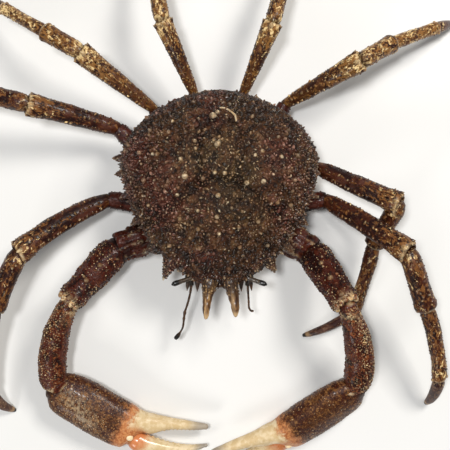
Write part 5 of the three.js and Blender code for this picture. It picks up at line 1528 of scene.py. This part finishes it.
def build_thorax():
    cols, levels = 200, 26
    rings, tone = [], []
    for i in range(levels):
        q = i / (levels - 1)
        # from the middle of the lower face out over the edge and up the side
        share = smooth(q, 0, 0.7) * 0.98 + 0.02 if q < 0.7 else 1.0
        z = 4.9 + (0.0 if q < 0.55 else 16.6 * ((q - 0.55) / 0.45) ** 1.3)
        a = np.arange(cols) / cols * 2 * math.pi
        c, s = np.cos(a), np.sin(a)
        x = 49.6 * share * np.sign(c) * np.abs(c) ** (2 / 3) * (0.84 + 0.16 * smooth(z, 5, 14))
        y = 2 + 48.6 * share * np.sign(s) * np.abs(s) ** (2 / 3) * (0.84 + 0.16 * smooth(z, 5, 14))
        groove = np.zeros(cols)
        for gy in (-26, -10, 8, 25):
            groove += np.exp(-(((y - gy - 0.08 * np.abs(x)) / 1.5) ** 2)) * smooth(np.abs(x), 14, 19)
        groove += 0.8 * np.exp(-((x / 1.5) ** 2)) * smooth(-y, 22, 30)
        zz = z + (1.3 * groove + 0.12 * np.abs(x) ** 0.5) * (z < 10) + 0.25 * noise(np.stack([x, y, np.full(cols, z)], -1), 4, 77)
        rings.append(np.stack([x, y, zz], -1))
        tone.append(np.clip(groove, 0, 1))
    verts, faces = tube(np.array(rings), vec(0, 2, 4.9), vec(0, 2, 21.5))
    bag = Bag()
    bag.add(verts, faces, dark=np.concatenate([np.concatenate(tone) * 0.8, [0, 0]]))
    return bag


def build_abdomen():
    rear, tip = 47.0, -27.0
    table = [(0, 13.6), (0.05, 15.8), (0.12, 17), (0.34, 15.6), (0.5, 12), (0.8, 10.3), (0.94, 7.5), (1, 3.75)]
    seams = [0.1, 0.24, 0.38, 0.52, 0.68, 0.84]
    t = np.linspace(0, 1, 110)
    half = curve_through([r[0] for r in table], [[r[1]] for r in table], t)[:, 0]
    y = rear + (tip - rear) * t
    cols = 44
    a = np.arange(cols) / cols * 2 * math.pi
    rings, tone = [], []
    for ti, hi, yi in zip(t, half, y):
        g = sum(math.exp(-(((ti - s) / 0.008) ** 2)) for s in seams)
        bulge = 1 + 0.02 * math.cos(2 * math.pi * (ti - 0.1) / 0.14)
        c, s = np.cos(a), np.sin(a)
        x = hi * bulge * (1 - 0.04 * g) * np.sign(c) * np.abs(c) ** 0.5
        z = 2.85 + 2.75 * (1 - 0.12 * g) * np.sign(s) * np.abs(s) ** 0.5
        z = np.where(s < 0, np.maximum(z, 0.1 + 0.55 * g + 0.35 * (np.abs(x / hi) > 0.35) * np.exp(-((np.abs(x / hi) - 0.5) ** 2) / 0.006)), z)
        rings.append(np.stack([x, np.full(cols, yi), z], -1))
        tone.append(np.full(cols, min(1, g)))
    verts, faces = tube(np.array(rings), vec(0, rear + 1.6, 2.8), vec(0, tip - 1.2, 2.8))
    bag = Bag()
    bag.add(verts, faces, dark=np.concatenate([np.concatenate(tone) * 0.8, [0, 0]]))
    return bag


def build_mouth(sign):
    bag = Bag()
    m = vec(sign, 1, 1)
    a, b = vec(8.1, -41, 12.5), vec(8.1, -69, 30.5)
    table = [(0, 0.72, 0.66, 0, 0), (0.06, 0.94, 0.86, 0, 0), (0.3, 0.98, 0.86, 0, 0), (0.6, 0.93, 0.74, 0, 0), (0.66, 0.84, 0.62, 0, 0), (0.72, 0.88, 0.66, 0, 0), (0.86, 0.82, 0.58, 0, 0), (0.97, 0.6, 0.44, 0, 0), (1.0, 0.5, 0.36, 0, 0)]
    rows = [(t * 33.3, w * 7.6, h * 4, s, u) for t, w, h, s, u in table]
    loft = Loft(a, b, rows, power=0.62, relief=lambda d, angle, p: 0.2 * fbm(p, 4, 88, 2) - 0.7 * np.exp(-(((angle - 1.5 * math.pi) / 0.13) ** 2)) * (d < 20))
    verts, faces, where = loft.skin(60, 0.7, 0.2, "tip")
    bag.add(verts, faces, dark=0.75 * np.exp(-(((where / 33.3 - 0.66) / 0.025) ** 2)), along=where / 33.3)
    d, an = scatter(loft, 500, 1.8, 0.05, 0.95, (math.pi, 2 * math.pi))
    r = RNG.uniform(0.3, 0.6, len(d))
    add_bumps(bag, loft, d, an, r, r * 0.7, DOME, 6, pale=0.3)
    # the short feeler of the mouthpart, curled back beside the front plate
    pts = [vec(12.8, -58, 21), vec(14.8, -64, 24), vec(13.0, -69.5, 27), vec(8.6, -70.5, 26.5), vec(4.6, -67, 23.5)]
    for k in range(len(pts) - 1):
        seg = Loft(pts[k], pts[k + 1], [(0, 1.2 - 0.15 * k, 1.2 - 0.15 * k, 0, 0), (float(np.linalg.norm(pts[k + 1] - pts[k])), 1.25 - 0.2 * k, 1.25 - 0.2 * k, 0, 0)])
        v, f, w = seg.skin(14, 0.8, 0.6, "tip")
        bag.add(v, f, along=0.5, dark=0.2)
    if sign < 0:
        bag.mirror()
    return bag


def build_eye(sign):
    a, b = vec(17.5, -66.5, 48.5), vec(34.8, -72.6, 50.5)
    length = float(np.linalg.norm(b - a))
    rows = [(t * length, w * 1.8, w * 1.8, 0, 0) for t, w in ((0, 1.0), (0.3, 0.98), (0.55, 0.95), (0.68, 1.0), (0.8, 1.12), (0.92, 1.08), (0.98, 0.88), (1.0, 0.6))]
    loft = Loft(a, b, rows, relief=lambda d, angle, p: 0.1 * fbm(p, 1.6, 91, 2) * (d < 0.66 * length))
    verts, faces, where = loft.skin(36, 0.35, 0.5, "tip")
    bag = Bag()
    t = where / length
    bag.add(verts, faces, dark=smooth(t, 0.7, 0.75), along=t)
    d, an = scatter(loft, 120, 1.1, 0.3, 0.64)
    r = RNG.uniform(0.22, 0.36, len(d))
    add_bumps(bag, loft, d, an, r, r * 0.8, DOME, 6, pale=0.4)
    # small spine on the stalk just behind the glassy part
    root = loft.point(np.array([0.66 * length]), np.array([math.radians(80)]))[0]
    v, f, s = spike(root, root + loft.up * 1.6 + loft.along * 0.8, 0.5, rows=8, cols=8)
    bag.add(v, f, along=0.6)
    if sign < 0:
        bag.mirror()
    return bag


ANTENNA = {
    "left": [(20.4, -65, 39.5), (21.4, -73, 39), (21.8, -79, 37.6), (22.3, -86, 35.6), (22.8, -92, 33.4), (24.3, -94, 32.8), (25.8, -94.2, 32.6)],
    "right": [(20.4, -65, 39.5), (21.3, -73, 39.4), (22.1, -79.5, 38), (24.2, -88, 34.5), (26.5, -95.1, 31.5), (27.3, -99.8, 29.5), (28.6, -108, 25.5), (32.4, -114.4, 21.4), (34.4, -116.8, 20.1)],
}


def smooth_path(points, steps):
    """Points along a smooth curve through the given ones, evenly apart."""
    p = np.array(points, float)
    chord = np.concatenate([[0], np.cumsum(np.sqrt(np.linalg.norm(np.diff(p, axis=0), axis=1)))])
    tangent = np.gradient(p, chord, axis=0)
    u = np.linspace(0, chord[-1], 400)
    i = np.clip(np.searchsorted(chord, u, side="right") - 1, 0, len(p) - 2)
    h = chord[i + 1] - chord[i]
    t = ((u - chord[i]) / h)[:, None]
    h = h[:, None]
    q = (2 * t**3 - 3 * t**2 + 1) * p[i] + (t**3 - 2 * t**2 + t) * h * tangent[i] + (3 * t**2 - 2 * t**3) * p[i + 1] + (t**3 - t**2) * h * tangent[i + 1]
    run = np.concatenate([[0], np.cumsum(np.linalg.norm(np.diff(q, axis=0), axis=1))])
    even = np.linspace(0, run[-1], steps)
    return np.stack([np.interp(even, run, q[:, k]) for k in range(3)], -1), run[-1]


def build_antenna(side_name, sign):
    path = [vec(*p) for p in ANTENNA[side_name]]
    steps = 120
    q, total = smooth_path(path, steps)
    u = np.linspace(0, 1, steps)
    tangent = unit(np.gradient(q, axis=0))
    side = unit(np.cross(tangent, vec(0, 0, 1)))
    up = np.cross(side, tangent)
    foot = 9.0 / total
    r = np.where(u < foot, 1.95, 0.7 + 0.3 * (1 - u))
    r = np.where((u >= foot) & (u < foot + 0.03), 1.3, r)
    r = r * (1 + 0.1 * np.sin(u * total * 2 * math.pi / 1.1) * (u > foot))  # rings of the whip
    club = 0.0
    if side_name == "right":
        club = smooth(u, 0.86, 0.95)
        r = r + club * 0.85 + 0.4 * np.exp(-(((u - 0.56) / 0.025) ** 2)) + 0.35 * np.exp(-(((u - 0.65) / 0.02) ** 2))
    else:
        r = r + 0.15 * smooth(u, 0.8, 1)
    r = r * (1 + 0.12 * noise(q, 1.5, 5))
    cols = 14
    a = np.arange(cols) / cols * 2 * math.pi
    ring = q[:, None] + r[:, None, None] * (np.cos(a)[None, :, None] * side[:, None] + np.sin(a)[None, :, None] * up[:, None])
    verts, faces = tube(ring, q[0] - tangent[0] * 0.8, q[-1] + tangent[-1] * r[-1] * 0.7)
    bag = Bag()
    dark = np.concatenate([np.repeat(np.clip(0.3 + 0.7 * club + 0.6 * (u < foot), 0, 1), cols), [1, 1]])
    bag.add(verts, faces, dark=dark, along=np.concatenate([np.repeat(u, cols), [0, 1]]))
    if sign < 0:
        bag.mirror()
    return bag


build_thorax().build("thorax_plate", UNDERSIDE_FINISH, "underside", "thorax")
build_abdomen().build("abdomen_flap", UNDERSIDE_FINISH, "underside", "abdomen")
for side_name, sign in (("left", 1), ("right", -1)):
    build_mouth(sign).build(f"mouthparts_{side_name}_plate", MOUTH_FINISH, "underside", f"mouthparts_{side_name}")
    build_eye(sign).build(f"eye_{side_name}_stalk", EYE_FINISH, "eye", f"eye_{side_name}")
    build_antenna(side_name, sign).build(f"antenna_{side_name}_whip", ANTENNA_FINISH, "antenna", f"antenna_{side_name}")

# ------------------------------------------------------- floor and lights


def floor_finish():
    m = Finish("floor", coat=0.0, specular=0.3)
    soft = m.noise(180, 2, 0.5, 0.0, 81.0)
    return m.done(m.mix(m.span(soft, 0.3, 0.7), srgb(226, 225, 222, 1), srgb(231, 230, 228, 1)), 0.75)


def build_floor():
    mesh = bpy.data.meshes.new("floor")
    s = 6.0
    mesh.from_pydata([(-s, -s, 0), (s, -s, 0), (s, s, 0), (-s, s, 0)], [], [(0, 1, 2, 3)])
    mesh.materials.append(floor_finish())
    floor = bpy.data.objects.new("floor", mesh)
    bpy.context.scene.collection.objects.link(floor)


def area_light(name, at, target, size, power, colour=(1, 1, 1)):
    data = bpy.data.lights.new(name, "AREA")
    data.shape = "RECTANGLE"
    data.size, data.size_y = size
    data.energy = power
    data.color = colour
    light = bpy.data.objects.new(name, data)
    light.location = at
    light.rotation_mode = "QUATERNION"
    light.rotation_quaternion = (Vector(target) - Vector(at)).to_track_quat("-Z", "Y")
    bpy.context.scene.collection.objects.link(light)


build_floor()
area_light("key", (0.72, 0.6, 1.15), (0.03, 0.0, 0.04), (0.4, 0.4), 14.0, (1.0, 0.97, 0.92))
area_light("overhead", (-0.14, 0.06, 1.35), (0.03, 0.0, 0.04), (0.16, 0.16), 10.0, (0.98, 0.99, 1.0))
area_light("low", (-0.6, -0.95, 0.65), (0.0, -0.05, 0.04), (0.3, 0.3), 4.0, (1.0, 0.98, 0.95))
world = bpy.data.worlds.new("studio")
world.use_nodes = True
world.node_tree.nodes["Background"].inputs["Color"].default_value = (0.95, 0.97, 1.0, 1.0)
world.node_tree.nodes["Background"].inputs["Strength"].default_value = 0.2
bpy.context.scene.world = world
bpy.context.scene.view_settings.view_transform = "Standard"
